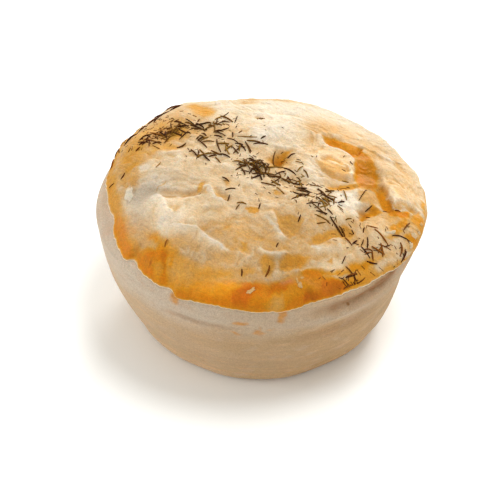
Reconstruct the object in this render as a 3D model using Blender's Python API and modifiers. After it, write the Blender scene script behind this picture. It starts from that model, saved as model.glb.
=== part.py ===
"""A deep, round meat pie: a pale pastry case under a domed, flaky pastry lid sprinkled with dried herb.

The pie stands on its flat base, with its middle on the Z axis. Lengths below are in millimetres, angles
in degrees from +X, and the finished meshes are in metres. The front of the pie is towards -Y.
"""

import math
import random

import bmesh
import bpy
import numpy as np
from mathutils import Vector, noise

MM = 0.001

# The pastry case, solid with its filling up to the rim.
RIM_RADIUS = 52.5
BASE_RADIUS = 37.9
CASE_HEIGHT = 43.3
WALL_BELLY = 1.81  # above 1 the wall swells outwards between base and rim
RIM_ROUND = 2.5
BASE_ROUND = 5.0
BASE_SLIP = -0.69  # how far the base sits off the rim's middle, along X
CASE_STEPS = 72
UPPER_WALL_ROWS = 6
LOWER_WALL_ROWS = 6
BAND_FOOT = 31.0  # the folded band below the rim ends about here, and its rows are finer

# Low relief on the wall: (angle, half spread in degrees, height, half height, how far it stands out).
WALL_RELIEF = (
    (-104, 24, 38.5, 2.6, 0.35),  # the folded band at the front left
    (-108, 16, 34.7, 0.9, -0.40),  # the crease below it
    (-54, 17, 38.6, 1.5, -1.10),  # the groove under the lid at the front right
    (-57, 19, 34.6, 1.6, 0.60),  # the bead below that groove
    (-56, 18, 30.6, 1.5, -0.35),
    (-8, 30, 26.5, 9.0, -2.30),  # the wall is pulled in at the right
    (-37, 12, 11.0, 8.0, 0.95),
    (-127, 15, 3.0, 9.0, -0.85),
    (-58, 12, 3.0, 9.0, -0.75),
    (70, 40, 30.0, 8.0, -0.80),
    (150, 30, 24.0, 7.0, 0.60),
)
WALL_UNEVEN = 0.35
WALL_UNEVEN_SCALE = 17.0

# The pie is a little out of round: (angle, half spread in degrees, how far its outline moves out).
OUT_OF_ROUND = (
    (25, 17, -1.5),
    (50, 10, -0.6),
    (-6, 10, 0.4),
    (170, 14, -0.3),
)
MIDDLE = (0.46, -0.07)  # the middle of the pie's outline, seen from the middle of its rim

# The pastry lid. Reach is measured from the middle, along the case's top and over its rounded rim.
GAP = 0.3
LID_EDGE = 0.8
LID_CROWN = 10.2
LID_SHOULDER = 4.0  # higher keeps the top flatter and its shoulder rounder
LEAST_LIFT = 0.55
LID_GRID = 96
LID_TRIANGLES = 4200

# How the lid falls to its edge, round the rim: (angle, fall). Below 1 it bulges, above 1 it slopes off.
LID_FALL = (
    (-150, 0.85),
    (-90, 0.95),
    (-40, 1.0),
    (0, 1.25),
    (42, 1.65),
    (85, 1.2),
    (125, 0.8),
    (147, 0.92),
    (170, 0.85),
)

# Where the lid's edge reaches to, round the rim: (angle, reach).
EDGE_REACH = (
    (-178, 48.9),
    (-167, 47.7),
    (-155, 50.1),
    (-144, 51.5),
    (-141, 49.7),
    (-137, 51.1),
    (-129, 52.0),
    (-122, 51.6),
    (-119, 53.3),
    (-110, 52.5),
    (-86, 53.3),
    (-66, 51.8),
    (-48, 52.1),
    (-27, 53.8),
    (-7, 52.9),
    (20, 53.4),
    (48, 52.6),
    (75, 53.4),
    (100, 52.8),
    (128, 53.6),
    (150, 52.9),
    (167, 51.2),
)
EDGE_RAGGED = 0.35
EDGE_RAGS = 11.0

# Broad swells and dents: (x, y, half length, half width, heading, height).
SWELLS = (
    (-27, 29, 18, 14, 45, 2.2),
    (28, 30, 17, 12, 135, -0.8),
    (-33, -2, 15, 9, 100, 0.7),
    (-22, -23, 13, 8, -35, 0.8),
    (-2, -12, 12, 7, 10, 0.7),
    (12, 20, 13, 9, 20, 0.8),
    (20, -18, 9, 6, -30, 0.9),
    (43, 2, 13, 5, 95, 1.3),
    (-31, -37.6, 4.8, 4.4, 0, 1.0),  # a round blister
    (6.3, 6.0, 3.8, 2.8, 75, -3.4),  # a steam dimple
    (8.8, -27.6, 4.6, 3.8, -20, -1.0),
    (25.3, -26.6, 3.6, 1.9, -10, -0.8),
    (20.5, -34.5, 6.0, 2.4, 5, 0.8),
    (33, -19, 3.2, 2.4, 20, -1.4),
    (8.5, -41, 4.8, 2.6, 6, -1.2),
    (2, -41.8, 2.4, 1.6, 90, -0.8),
    (-5.5, -36.6, 2.0, 1.4, 0, -0.6),
    (-15, -39, 6.0, 2.0, -14, -0.8),
    (29.5, -38.6, 3.8, 1.8, 35, -0.6),
    (-38, -7.5, 2.8, 2.6, 0, -0.5),
    (-29, -11.6, 3.0, 1.8, -20, -0.9),
    (-20.5, -12.4, 3.6, 1.5, 0, -0.9),
    (-12, -14.8, 2.8, 2.0, -50, -0.9),
    (-20, 34, 6.5, 4.0, 90, -1.2),
    (-0.5, 29.5, 1.6, 1.2, 0, -0.9),
    (-8, 41, 9.0, 2.6, 3, -0.8),
    (33, 1, 7.5, 3.0, 88, -1.4),  # the sunken patch beside the flaky tongues
    (37.8, -11.4, 6.0, 2.2, 108, -1.6),
    (26.5, 15.6, 6.0, 2.6, -38, -0.9),
    (25.5, -7.6, 4.8, 1.3, -4, -1.0),
)

# Folds: (points, width of the side to the left of their course, width to the right, height). A narrow
# width makes that side steep, and a negative height makes a furrow.
FOLDS = (
    (((-29, -26), (-24, -27.4), (-19.5, -29), (-16.5, -33), (-13, -35), (-9.5, -37.3)), 0.9, 3.2, 1.3),
    (((-33, -9.5), (-31, -14), (-29.5, -19.5), (-27, -23.5)), 0.8, 3.0, 1.1),
    (((-38, -7), (-33, -8.2), (-28, -9.6), (-23.5, -11), (-19, -11.2), (-16.5, -9.8)), 0.6, 2.6, -1.4),
    (((-17, -8), (-15.3, -12), (-14.6, -16), (-12, -17.7), (-9.8, -18.2)), 0.6, 2.2, 0.9),
    (((-29.4, -33.4), (-28.4, -36.5), (-28.9, -39.4), (-31.5, -41.6)), 0.7, 0.9, -0.7),
    (((3, -21), (4.2, -25), (4.8, -29), (6.2, -31.8), (8.5, -33.2)), 0.8, 3.0, 1.5),
    (((-1.8, -34.5), (-0.6, -37), (2, -38.3), (5.5, -38.2), (9, -36.9)), 1.5, 0.9, 1.1),
    (((14.8, -33.2), (18, -31.7), (22, -29.6), (25, -28), (28.5, -26.5)), 2.2, 0.9, -0.9),
    (((-3, -45.3), (1.5, -46.6), (8, -45.2), (12.5, -43.4), (17, -41.6), (24, -41.4)), 0.8, 0.8, 0.35),
    (((4.4, -39.6), (4.6, -42), (4.4, -45)), 0.7, 0.7, 0.4),
    (((20, 21.5), (21.2, 16.8), (23.6, 13.8), (27.4, 11.2), (30, 8.8), (31, 5.8)), 2.8, 0.6, -1.5),
    (((32.8, 14.6), (32, 12.5), (31.4, 10)), 0.6, 0.6, -1.0),
    (((19, 6.2), (22.5, 5.6), (25.2, 3), (27, 0.2), (28.6, -3)), 0.5, 2.0, -0.9),
    (((18, 5), (19.2, 0.4), (21.8, -2.6), (25.4, -4.4), (29, -5)), 0.5, 1.8, -0.9),
    (((21, -9.3), (25, -9), (29.5, -9.4), (33, -7.6)), 0.7, 2.0, 0.6),
    (((36, 6), (35.8, 0), (36.4, -5.5)), 1.6, 2.6, -0.6),
    (((36.2, -4), (37.8, -6.5), (39.2, -9.8), (41.6, -14.6)), 0.6, 2.4, -1.4),
    (((41, -13.8), (45.2, -11.8), (49.4, -11)), 0.6, 1.8, -1.3),
    (((28, -17.2), (31.5, -16.4), (35.5, -16.2)), 0.6, 2.2, -1.1),
    (((30.4, -16.8), (30.4, -19.5), (30.2, -22.5)), 2.0, 0.6, -1.0),
    (((-40, -32), (-36, -27), (-33, -20), (-33, -14)), 1.4, 3.0, -0.5),
    (((-45, 2), (-40, 6), (-34, 7), (-29, 4)), 1.8, 1.2, -0.6),
    (((-27, 12), (-26, 6), (-26, 0), (-27, -6)), 1.0, 2.6, 0.6),
    (((-8, 35), (2, 33.5), (12, 31.5), (22, 26)), 3.0, 1.2, -0.6),
    (((38, 25), (44, 15), (47.5, 3)), 1.4, 2.4, -0.5),
    (((34.5, 29), (32, 24), (29, 20)), 1.2, 2.0, -0.5),
    (((-12, -6), (-4, -8), (6, -13), (16, -21)), 3.0, 1.6, 0.4),
)
FOLD_FADE = 0.22  # the share of a fold's length over which each end fades out

# Tongues of flaky pastry: (x, y, length, width, heading of the free tip, how high the tip stands).
FLAKES = (
    (25.5, 6, 15, 8.5, -55, 1.0),
    (23.5, 0.6, 13, 6.0, -38, 0.8),
    (28, -12.5, 12, 10, -20, 0.9),
    (-41.2, -6.4, 6.0, 2.6, 95, 0.7),
    (43.5, -8, 12, 8, -105, 1.1),
    (40, 16, 12, 8, -60, 0.6),
    (30, 25, 10, 7, -50, 0.5),
    (39.5, -23.8, 5, 2.4, 5, 0.6),
    (-2.5, -49.4, 4.0, 1.8, 10, 0.5),
    (12, -47.6, 4.2, 2.6, -60, 0.6),
    (-16, 8, 12, 9, 150, 0.4),
    (-34, -30, 9, 6, -120, 0.4),
    (4, -16, 10, 8, -80, 0.4),
    (-12, 40, 12, 6, 95, 0.6),
    (12, 38, 12, 6, 80, 0.6),
)
FLAKE_LIP = 0.12  # softness of a flake's free edge, as a share of its size

# Short crinkles strewn over the lid by a rule.
CRINKLE_SEED = 7
CRINKLES = 34
CRINKLE_REACH = 45.0
CRINKLE_HEADING = (-35.0, 32.0)  # mean and spread
CRINKLE_LENGTHS = (4.0, 10.0)
CRINKLE_RISES = (0.15, 0.5)
CRINKLE_WIDTHS = (0.7, 2.2)

# Unevenness of the pastry: (scale, height), and how far it makes the relief above wander.
RELIEF_NOISE = ((15.0, 0.75), (6.5, 0.40))
RELIEF_SLICE = 3.7  # where the noise is cut for it
WANDER_SCALE = 7.0
WANDER = 0.8
WANDER_SLICES = (11.3, 23.9)
RELIEF_END = 0.93  # from this share of the reach the relief dies down towards the edge

# Dried herb. A needle is (x, y, heading, length).
NEEDLE_WIDTH = 0.85
NEEDLE_SIDES = 4
NEEDLE_BENDS_FROM = 5.0  # longer needles have a joint in the middle and follow the pastry
NEEDLE_TIP = 0.55  # a tip's width as a share of the middle's
NEEDLE_RIDE = 0.15  # how far a needle's widest part lies above the pastry
NEEDLE_ROOT = 2.6  # how much deeper its underside goes than its top stands, so that no gap is left
NEEDLE_FLOOR = 0.2  # the least pastry left under a needle
NEEDLE_MARGIN = 0.9  # how far a needle's tips stay inside the lid's edge
PLACED_NEEDLES = (
    (-48.7, 2.8, 140, 2.4),
    (-44.0, 2.7, 60, 2.4),
    (-32.5, 2.0, 70, 3.6),
    (-28.8, -32.3, 75, 2.6),
    (-5.9, -44.2, 88, 2.2),
    (1.8, -43.5, 72, 4.0),
    (-11.0, -6.5, -55, 3.6),
    (-9.5, -12.2, 5, 3.2),
    (-10.0, -16.2, 78, 2.6),
    (-6.0, -18.8, -12, 3.0),
    (-7.2, -20.5, 65, 2.6),
    (-0.5, -19.5, 80, 2.6),
    (11.6, -24.5, 70, 2.4),
    (18.2, -25.8, 25, 3.0),
    (23.0, -26.0, -56, 7.2),
    (24.6, -26.8, -60, 3.6),
    (26.7, -22.5, 30, 2.2),
    (17.5, -20.5, -42, 6.4),
    (28.3, -31.0, 55, 2.6),
    (26.4, -31.2, -55, 3.6),
    (31.3, -25.8, 80, 2.2),
    (34.0, -24.3, -14, 3.4),
    (36.6, -27.2, -42, 5.4),
    (38.3, -29.6, 40, 2.4),
    (32.2, -30.2, 88, 3.8),
    (30.6, -30.4, 70, 2.4),
    (32.5, -32.6, 15, 2.6),
    (31.5, -33.7, -45, 3.8),
    (36.2, -31.4, 60, 2.6),
    (33.4, -36.0, 8, 3.2),
    (24.7, -38.0, 60, 2.2),
    (27.2, -41.4, 25, 3.4),
    (28.4, -42.2, 80, 2.2),
    (4.8, -35.2, 65, 1.5),
    (42.5, -25.1, 12, 5.0),
    (41.8, -28.6, 72, 3.8),
    (45.0, -20.0, 63, 4.4),
    (42.3, -15.0, 25, 2.0),
    (33.2, -16.0, 38, 2.8),
    (31.5, -11.3, 68, 7.2),
    (26.0, -12.5, -78, 4.2),
    (24.7, -15.7, 20, 2.2),
    (24.3, -18.2, -45, 2.4),
    (21.3, -10.4, 8, 2.8),
    (25.6, -8.7, -12, 2.6),
    (26.2, -4.7, -20, 2.2),
    (2.3, -8.5, -22, 5.0),
    (6.0, -12.0, -60, 4.6),
    (3.9, 0.6, 2, 6.2),
    (9.0, -1.3, -38, 4.8),
    (12.3, -0.5, 50, 3.2),
    (14.0, -2.6, -65, 3.4),
    (12.2, 3.3, -25, 2.2),
    (9.9, 7.3, 28, 2.8),
    (4.4, 6.2, 86, 6.4),
    (0.8, 15.0, 38, 2.0),
    (-4.3, 15.7, -10, 6.4),
    (-2.3, 13.7, -18, 4.6),
    (-4.0, 11.2, -70, 5.6),
    (-7.8, 21.9, 80, 2.2),
    (-6.5, 18.6, 60, 2.2),
    (-11.8, 29.8, 55, 4.8),
    (-15.1, 22.0, -84, 6.4),
    (-13.4, 12.0, -78, 6.4),
    (-12.0, 13.0, 0, 3.8),
    (-18.6, 12.6, -57, 5.4),
    (-21.0, 7.0, -62, 5.4),
    (-25.4, 12.2, 48, 4.2),
    (-10.6, 9.8, -75, 5.0),
    (-12.4, 19.8, 28, 5.0),
    (-13.6, 3.6, -66, 4.0),
)

# Where the herb lies thick: (x, y, heading, half length, half width, needles).
HERB_DRIFTS = (
    (-30.5, 20, 22, 8.0, 3.4, 13),
    (-14.5, 24.5, 20, 5.5, 2.4, 5),
    (-17, 17, 15, 7.0, 3.2, 5),
    (-7.5, 10, -20, 3.6, 3.0, 4),
    (-17, 7, 10, 4.5, 2.0, 4),
    (-2.8, 0.6, -60, 4.6, 3.2, 10),
    (6, -5, -30, 5.5, 2.8, 5),
    (12.5, -12.5, -70, 6.0, 2.4, 5),
    (19.3, -14.5, -78, 6.0, 2.6, 8),
)
DRIFT_LENGTHS = (2.6, 5.6)
DRIFT_SPREAD = 0.68  # spread of the draw, as a share of a drift's half sizes
DRIFT_TURN = 80.0
RIM_HERB_ANGLES = (124, 163)
RIM_HERB_REACH = (48.0, 52.0)
RIM_HERB_COUNT = 9
RIM_HERB_TURN = 30.0
HERB_SEED = 41


def smooth(low, high, value):
    """0 below low, 1 above high, and an even curve between."""
    share = np.clip((value - low) / (high - low), 0.0, 1.0)
    return share * share * (3.0 - 2.0 * share)


def turn_between(first, second):
    """The smaller turn from one angle to another, in degrees."""
    return (second - first + 180.0) % 360.0 - 180.0


def polar(x, y):
    """The reach and angle of points."""
    return np.hypot(x, y), np.degrees(np.arctan2(y, x))


def plan(reach, angle):
    """The x and y of points at a reach and an angle."""
    turn = np.radians(angle)
    return reach * np.cos(turn), reach * np.sin(turn)


def unevenness(x, y, z, scale):
    """Smooth noise from -1 to 1 at points, with bumps of about the given scale."""
    points = np.stack(np.broadcast_arrays(x, y, z), axis=-1).reshape(-1, 3) / scale
    values = np.array([noise.noise(Vector(point)) for point in points])
    return values.reshape(np.shape(x))


def along_rim(angle, stops):
    """A value read smoothly from stops of (angle, value) that go once round the rim."""
    stops = stops + ((stops[0][0] + 360, stops[0][1]),)
    angle = stops[0][0] + (angle - stops[0][0]) % 360.0
    value = np.full(np.shape(angle), float(stops[0][1]))
    for (first, low), (last, high) in zip(stops, stops[1:]):
        value += (high - low) * smooth(first, last, angle)
    return value


def turned_frame(x, y, centre_x, centre_y, heading):
    """Places of points along and across a heading, seen from a centre."""
    cosine = math.cos(math.radians(heading))
    sine = math.sin(math.radians(heading))
    dx = x - centre_x
    dy = y - centre_y
    return dx * cosine + dy * sine, dy * cosine - dx * sine


def beside_course(x, y, course):
    """How far points lie from a line through several points, the side they lie on, and their share of it."""
    steps = [math.dist(start, end) for start, end in zip(course, course[1:])]
    nearest = np.full(np.shape(x), np.inf)
    left = np.zeros(np.shape(x), bool)
    share = np.zeros(np.shape(x))
    passed = 0.0
    for (start_x, start_y), (end_x, end_y), step in zip(course, course[1:], steps):
        heading = math.degrees(math.atan2(end_y - start_y, end_x - start_x))
        along, across = turned_frame(x, y, start_x, start_y, heading)
        held = np.clip(along, 0.0, step)
        distance = np.hypot(along - held, across)
        closer = distance < nearest
        nearest = np.where(closer, distance, nearest)
        left = np.where(closer, across > 0.0, left)
        share = np.where(closer, (passed + held) / sum(steps), share)
        passed += step
    return nearest, left, share


def settled(point):
    """A point moved in or out as the pie's outline is, with the pie's middle over the origin."""
    angle = polar(point.x, point.y)[1]
    growth = 1.0
    for centre, spread, move in OUT_OF_ROUND:
        growth += move / RIM_RADIUS * math.exp(-((turn_between(centre, angle) / spread) ** 2))
    return Vector((point.x * growth - MIDDLE[0], point.y * growth - MIDDLE[1], point.z))


# --- the pastry case ---------------------------------------------------------------------------------


def wall_radius(height):
    """The case's radius at a height, before its rim and base are rounded."""
    share = 1.0 - min(1.0, max(0.0, height / CASE_HEIGHT))
    return BASE_RADIUS + (RIM_RADIUS - BASE_RADIUS) * (1.0 - share**WALL_BELLY)


def arc(centre_r, centre_z, radius, first, last, steps):
    """Points of an arc in the plane of radius and height; angles run from straight out towards up."""
    points = []
    for step in range(steps + 1):
        angle = math.radians(first + (last - first) * step / steps)
        points.append((centre_r + radius * math.cos(angle), centre_z + radius * math.sin(angle)))
    return points


def case_outline():
    """The turned outline: from the axis over the flat top and rim, down the wall, and in along the base."""
    rim_centre = CASE_HEIGHT - RIM_ROUND
    outline = [(0.0, CASE_HEIGHT)]
    outline += arc(RIM_RADIUS - RIM_ROUND, rim_centre, RIM_ROUND, 90, 0, 4)
    for row in range(1, UPPER_WALL_ROWS + 1):
        height = rim_centre + (BAND_FOOT - rim_centre) * row / UPPER_WALL_ROWS
        outline.append((wall_radius(height), height))
    for row in range(1, LOWER_WALL_ROWS + 1):
        height = BAND_FOOT + (BASE_ROUND - BAND_FOOT) * row / LOWER_WALL_ROWS
        outline.append((wall_radius(height), height))
    outline += arc(wall_radius(BASE_ROUND) - BASE_ROUND, BASE_ROUND, BASE_ROUND, 0, -90, 3)[1:]
    outline.append((0.0, 0.0))
    return outline


def wall_relief(angle, height):
    """How far the wall stands out at angles and heights."""
    out = np.zeros(np.shape(angle))
    for centre, spread, level, half_height, stand in WALL_RELIEF:
        across = turn_between(centre, angle) / spread
        up = (height - level) / half_height
        out += stand * np.exp(-(across**2) - up**2)
    out += WALL_UNEVEN * unevenness(*plan(RIM_RADIUS, angle), height, WALL_UNEVEN_SCALE)
    return out * smooth(CASE_HEIGHT, CASE_HEIGHT - RIM_ROUND, height)


def turned_mesh(name, outline, steps):
    """A mesh turned about Z from an outline that starts and ends on the axis."""
    bm = bmesh.new()
    ring = [bm.verts.new((radius * MM, 0.0, height * MM)) for radius, height in outline]
    for above, below in zip(ring, ring[1:]):
        bm.edges.new((above, below))
    mesh = bpy.data.meshes.new(name + "_outline")
    bm.to_mesh(mesh)
    bm.free()
    outline_object = bpy.data.objects.new(name + "_outline", mesh)
    bpy.context.scene.collection.objects.link(outline_object)
    screw = outline_object.modifiers.new("turn", "SCREW")
    screw.steps = steps
    screw.render_steps = steps
    screw.use_merge_vertices = True
    screw.merge_threshold = 0.00001
    depsgraph = bpy.context.evaluated_depsgraph_get()
    turned = bpy.data.meshes.new_from_object(outline_object.evaluated_get(depsgraph))
    turned.name = name
    bpy.data.objects.remove(outline_object)
    return turned


def make_case(collection):
    """The pastry case, turned and then pressed in and out as the real wall is."""
    mesh = turned_mesh("pastry_case", case_outline(), CASE_STEPS)
    for vertex in mesh.vertices:
        point = vertex.co / MM
        radius, angle = polar(point.x, point.y)
        if radius > RIM_RADIUS / 2:
            point.xy *= (radius + wall_relief(angle, point.z)) / radius
        point.x += BASE_SLIP * (1.0 - point.z / CASE_HEIGHT)
        vertex.co = settled(point) * MM
    case = bpy.data.objects.new("pastry_case", mesh)
    collection.objects.link(case)
    return case


# --- the pastry lid ----------------------------------------------------------------------------------


def edge_reach(angle):
    """How far the lid's ragged edge reaches at angles."""
    rags = unevenness(*plan(1.0, angle), 0.0, 1.0 / EDGE_RAGS)
    return along_rim(angle, EDGE_REACH) + EDGE_RAGGED * rags


def crinkles():
    """Short folds strewn over the lid, in the same form as FOLDS."""
    draw = random.Random(CRINKLE_SEED)
    strewn = []
    for _ in range(CRINKLES):
        reach = CRINKLE_REACH * math.sqrt(draw.random())
        x, y = plan(reach, draw.uniform(-180.0, 180.0))
        half = draw.uniform(*CRINKLE_LENGTHS) / 2
        step_x, step_y = plan(half, draw.gauss(*CRINKLE_HEADING))
        course = ((x - step_x, y - step_y), (x + step_x, y + step_y))
        widths = draw.sample(CRINKLE_WIDTHS, 2)
        strewn.append((course, *widths, draw.uniform(*CRINKLE_RISES)))
    return strewn


def lid_relief(x, y):
    """The height of the lid's swells, folds and flakes at places on it."""
    height = np.zeros(np.shape(x))
    for scale, rise in RELIEF_NOISE:
        height += rise * unevenness(x, y, RELIEF_SLICE, scale)
    wander_x = x + WANDER * unevenness(x, y, WANDER_SLICES[0], WANDER_SCALE)
    wander_y = y + WANDER * unevenness(x, y, WANDER_SLICES[1], WANDER_SCALE)
    for centre_x, centre_y, half_length, half_width, heading, rise in SWELLS:
        along, across = turned_frame(wander_x, wander_y, centre_x, centre_y, heading)
        height += rise * np.exp(-((along / half_length) ** 2) - (across / half_width) ** 2)
    for course, left_width, right_width, rise in FOLDS + tuple(crinkles()):
        distance, left, share = beside_course(wander_x, wander_y, course)
        ends = smooth(0.0, FOLD_FADE, share) * smooth(1.0, 1.0 - FOLD_FADE, share)
        height += rise * ends * np.exp(-((distance / np.where(left, left_width, right_width)) ** 2))
    for centre_x, centre_y, length, width, heading, rise in FLAKES:
        along, across = turned_frame(wander_x, wander_y, centre_x, centre_y, heading)
        along /= length / 2
        across /= width / 2
        inside = smooth(1.0 + FLAKE_LIP, 1.0 - FLAKE_LIP, np.hypot(along, across))
        height += rise * inside * smooth(-1.0, 0.9, along)
    return height


def lid_lift(reach, angle):
    """The lid's thickness above the gap, at reaches and angles."""
    share = np.minimum(1.0, reach / edge_reach(angle))
    crown = (1.0 - share**LID_SHOULDER) ** along_rim(angle, LID_FALL)
    relief = lid_relief(*plan(reach, angle)) * smooth(1.0, RELIEF_END, share)
    return np.maximum(LEAST_LIFT, LID_EDGE + LID_CROWN * crown + relief)


def over_rim(reach, angle, lift):
    """A point at a reach and an angle, lifted off the case's top along the way it faces there."""
    flat = RIM_RADIUS - RIM_ROUND
    lean = max(0.0, reach - flat) / RIM_ROUND
    drop = max(0.0, lean - math.pi / 2) * RIM_ROUND
    lean = min(lean, math.pi / 2)
    x, y = plan(min(reach, flat) + (RIM_ROUND + lift) * math.sin(lean), angle)
    height = CASE_HEIGHT + lift - (RIM_ROUND + lift) * (1.0 - math.cos(lean)) - drop
    return settled(Vector((x, y, height)))


def square_to_disc(a, b):
    """Points of the square from -1 to 1 as (share of the radius, angle), keeping areas even."""
    wide = np.abs(a) > np.abs(b)
    longer = np.where(wide, a, b)
    ratio = np.where(wide, b, a) / np.where(longer == 0.0, 1.0, longer)
    angle = np.where(wide, 45.0 * ratio, 90.0 - 45.0 * ratio) + np.where(longer < 0.0, 180.0, 0.0)
    return np.abs(longer), turn_between(0.0, angle)


def make_lid_blank():
    """The bare lid: an even grid drawn into a disc, raised to the dome and closed by its underside."""
    bm = bmesh.new()
    bmesh.ops.create_grid(bm, x_segments=LID_GRID, y_segments=LID_GRID, size=1.0)
    extruded = bmesh.ops.extrude_face_region(bm, geom=bm.faces[:])
    upper = {item for item in extruded["geom"] if isinstance(item, bmesh.types.BMVert)}
    share, angle = square_to_disc(*np.array([vertex.co.xy for vertex in bm.verts]).T)
    reach = share * edge_reach(angle)
    lift = GAP + lid_lift(reach, angle) * np.array([vertex in upper for vertex in bm.verts])
    for vertex, *place in zip(bm.verts, reach, angle, lift):
        vertex.co = over_rim(*place) * MM
    bmesh.ops.recalc_face_normals(bm, faces=bm.faces[:])
    bmesh.ops.triangulate(bm, faces=bm.faces[:])
    mesh = bpy.data.meshes.new("pastry_lid")
    bm.to_mesh(mesh)
    bm.free()
    return bpy.data.objects.new("pastry_lid", mesh)


def herb_needles():
    """Every needle's place: the placed ones, those that drift together, and the trail along the rim."""
    draw = random.Random(HERB_SEED)
    needles = list(PLACED_NEEDLES)
    for x, y, heading, half_length, half_width, count in HERB_DRIFTS:
        for _ in range(count):
            along = draw.gauss(0.0, DRIFT_SPREAD) * half_length
            across = draw.gauss(0.0, DRIFT_SPREAD) * half_width
            step_x, step_y = turned_frame(along, across, 0.0, 0.0, -heading)
            needle_heading = heading + draw.uniform(-DRIFT_TURN, DRIFT_TURN)
            needles.append((x + step_x, y + step_y, needle_heading, draw.uniform(*DRIFT_LENGTHS)))
    for _ in range(RIM_HERB_COUNT):
        angle = draw.uniform(*RIM_HERB_ANGLES)
        x, y = plan(draw.uniform(*RIM_HERB_REACH), angle)
        needle_heading = angle + 90.0 + draw.uniform(-RIM_HERB_TURN, RIM_HERB_TURN)
        needles.append((x, y, needle_heading, draw.uniform(*DRIFT_LENGTHS)))
    return [pulled_in(*needle) for needle in needles]


def pulled_in(x, y, heading, length):
    """A needle moved towards the middle until both its tips lie on the lid."""
    step_x, step_y = plan(length / 2, heading)
    reach, angle = polar(x + np.array([-step_x, step_x]), y + np.array([-step_y, step_y]))
    beyond = np.max(reach - edge_reach(angle)) + NEEDLE_MARGIN
    share = 1.0 - max(0.0, beyond) / math.hypot(x, y)
    return x * share, y * share, heading, length


def make_needle(place, collection):
    """One needle, a slim prism with narrow ends, bent to follow the pastry under it."""
    x, y, heading, length = place
    radius = NEEDLE_WIDTH / 2
    bm = bmesh.new()
    bmesh.ops.create_cone(
        bm,
        cap_ends=True,
        segments=NEEDLE_SIDES,
        radius1=radius,
        radius2=radius,
        depth=length,
    )
    if length > NEEDLE_BENDS_FROM:
        lengthwise = [edge for edge in bm.edges if edge.calc_length() > length / 2]
        bmesh.ops.subdivide_edges(bm, edges=lengthwise, cuts=1)
    along = np.array([vertex.co.z for vertex in bm.verts])
    width = 1.0 - (1.0 - NEEDLE_TIP) * np.abs(along) / (length / 2)
    across = width * [vertex.co.y for vertex in bm.verts]
    rise = width * [-vertex.co.x * (NEEDLE_ROOT if vertex.co.x > 0.0 else 1.0) for vertex in bm.verts]
    spine_x, spine_y = turned_frame(along, 0.0, 0.0, 0.0, -heading)
    lift = lid_lift(*polar(x + spine_x, y + spine_y)) + NEEDLE_RIDE + rise
    lift = GAP + np.maximum(NEEDLE_FLOOR, lift)
    step_x, step_y = turned_frame(along, across, 0.0, 0.0, -heading)
    reach, angle = polar(x + step_x, y + step_y)
    for vertex, *place in zip(bm.verts, reach, angle, lift):
        vertex.co = over_rim(*place) * MM
    mesh = bpy.data.meshes.new("needle")
    bm.to_mesh(mesh)
    bm.free()
    collection.objects.link(bpy.data.objects.new("needle", mesh))


def applied(source, name):
    """An object's evaluated mesh as a new mesh."""
    depsgraph = bpy.context.evaluated_depsgraph_get()
    mesh = bpy.data.meshes.new_from_object(source.evaluated_get(depsgraph))
    mesh.name = name
    return mesh


def keep_largest_body(mesh):
    """Drops loose scraps and sealed hollows, so that one closed body is left."""
    bm = bmesh.new()
    bm.from_mesh(mesh)
    waiting = set(bm.verts)
    bodies = []
    while waiting:
        body = {waiting.pop()}
        front = list(body)
        while front:
            vertex = front.pop()
            for edge in vertex.link_edges:
                other = edge.other_vert(vertex)
                if other in waiting:
                    waiting.remove(other)
                    body.add(other)
                    front.append(other)
        bodies.append(body)
    largest = max(bodies, key=len)
    scraps = [vertex for vertex in bm.verts if vertex not in largest]
    bmesh.ops.delete(bm, geom=scraps, context="VERTS")
    bm.to_mesh(mesh)
    bm.free()


def make_lid(collection, herb_collection):
    """The lid, thinned to the triangles it needs, with the herb fused to it."""
    lid = make_lid_blank()
    collection.objects.link(lid)
    thin = lid.modifiers.new("thin", "DECIMATE")
    thin.ratio = LID_TRIANGLES / len(lid.data.polygons)
    lid.data = applied(lid, "pastry_lid")
    lid.modifiers.clear()
    for place in herb_needles():
        make_needle(place, herb_collection)
    join = lid.modifiers.new("herb", "BOOLEAN")
    join.operation = "UNION"
    join.operand_type = "COLLECTION"
    join.collection = herb_collection
    join.solver = "MANIFOLD"
    lid.data = applied(lid, "pastry_lid")
    lid.modifiers.clear()
    for needle in list(herb_collection.objects):
        bpy.data.objects.remove(needle)
    keep_largest_body(lid.data)
    return lid


# --- finish and assembly -----------------------------------------------------------------------------


def finish(name, color, roughness):
    """A plain material."""
    material = bpy.data.materials.new(name)
    material.use_nodes = True
    shader = material.node_tree.nodes["Principled BSDF"]
    shader.inputs["Base Color"].default_value = (*color, 1.0)
    shader.inputs["Roughness"].default_value = roughness
    shader.inputs["Metallic"].default_value = 0.0
    return material


def new_collection(name):
    """A collection linked to the scene."""
    collection = bpy.data.collections.new(name)
    bpy.context.scene.collection.children.link(collection)
    return collection


def shade(part, material):
    """Gives a part its material and smooth shading with crisp creases."""
    part.data.materials.clear()
    part.data.materials.append(material)
    part.data.shade_smooth()
    part.data.set_sharp_from_angle(angle=math.radians(40))


def main():
    """Builds the pie."""
    for old in list(bpy.data.objects):
        bpy.data.objects.remove(old)
    pie = new_collection("meat_pie")
    herb = new_collection("herb_needles")
    case = make_case(pie)
    lid = make_lid(pie, herb)
    bpy.data.collections.remove(herb)
    shade(case, finish("pale_pastry", (0.66, 0.52, 0.36), 0.75))
    shade(lid, finish("baked_pastry", (0.72, 0.48, 0.22), 0.55))


main()
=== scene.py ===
# %% [markdown]
# # A deep meat pie
#
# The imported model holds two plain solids: a pastry case, and a pastry lid with its dried herb fused to it.
# This script models both again with the fine relief that baked pastry has, strews the herb over the lid
# needle by needle, gives each surface its finish, and sets up a plain white table with soft light.

import math
import random

import bmesh
import bpy
import numpy as np
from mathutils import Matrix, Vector, noise


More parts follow.
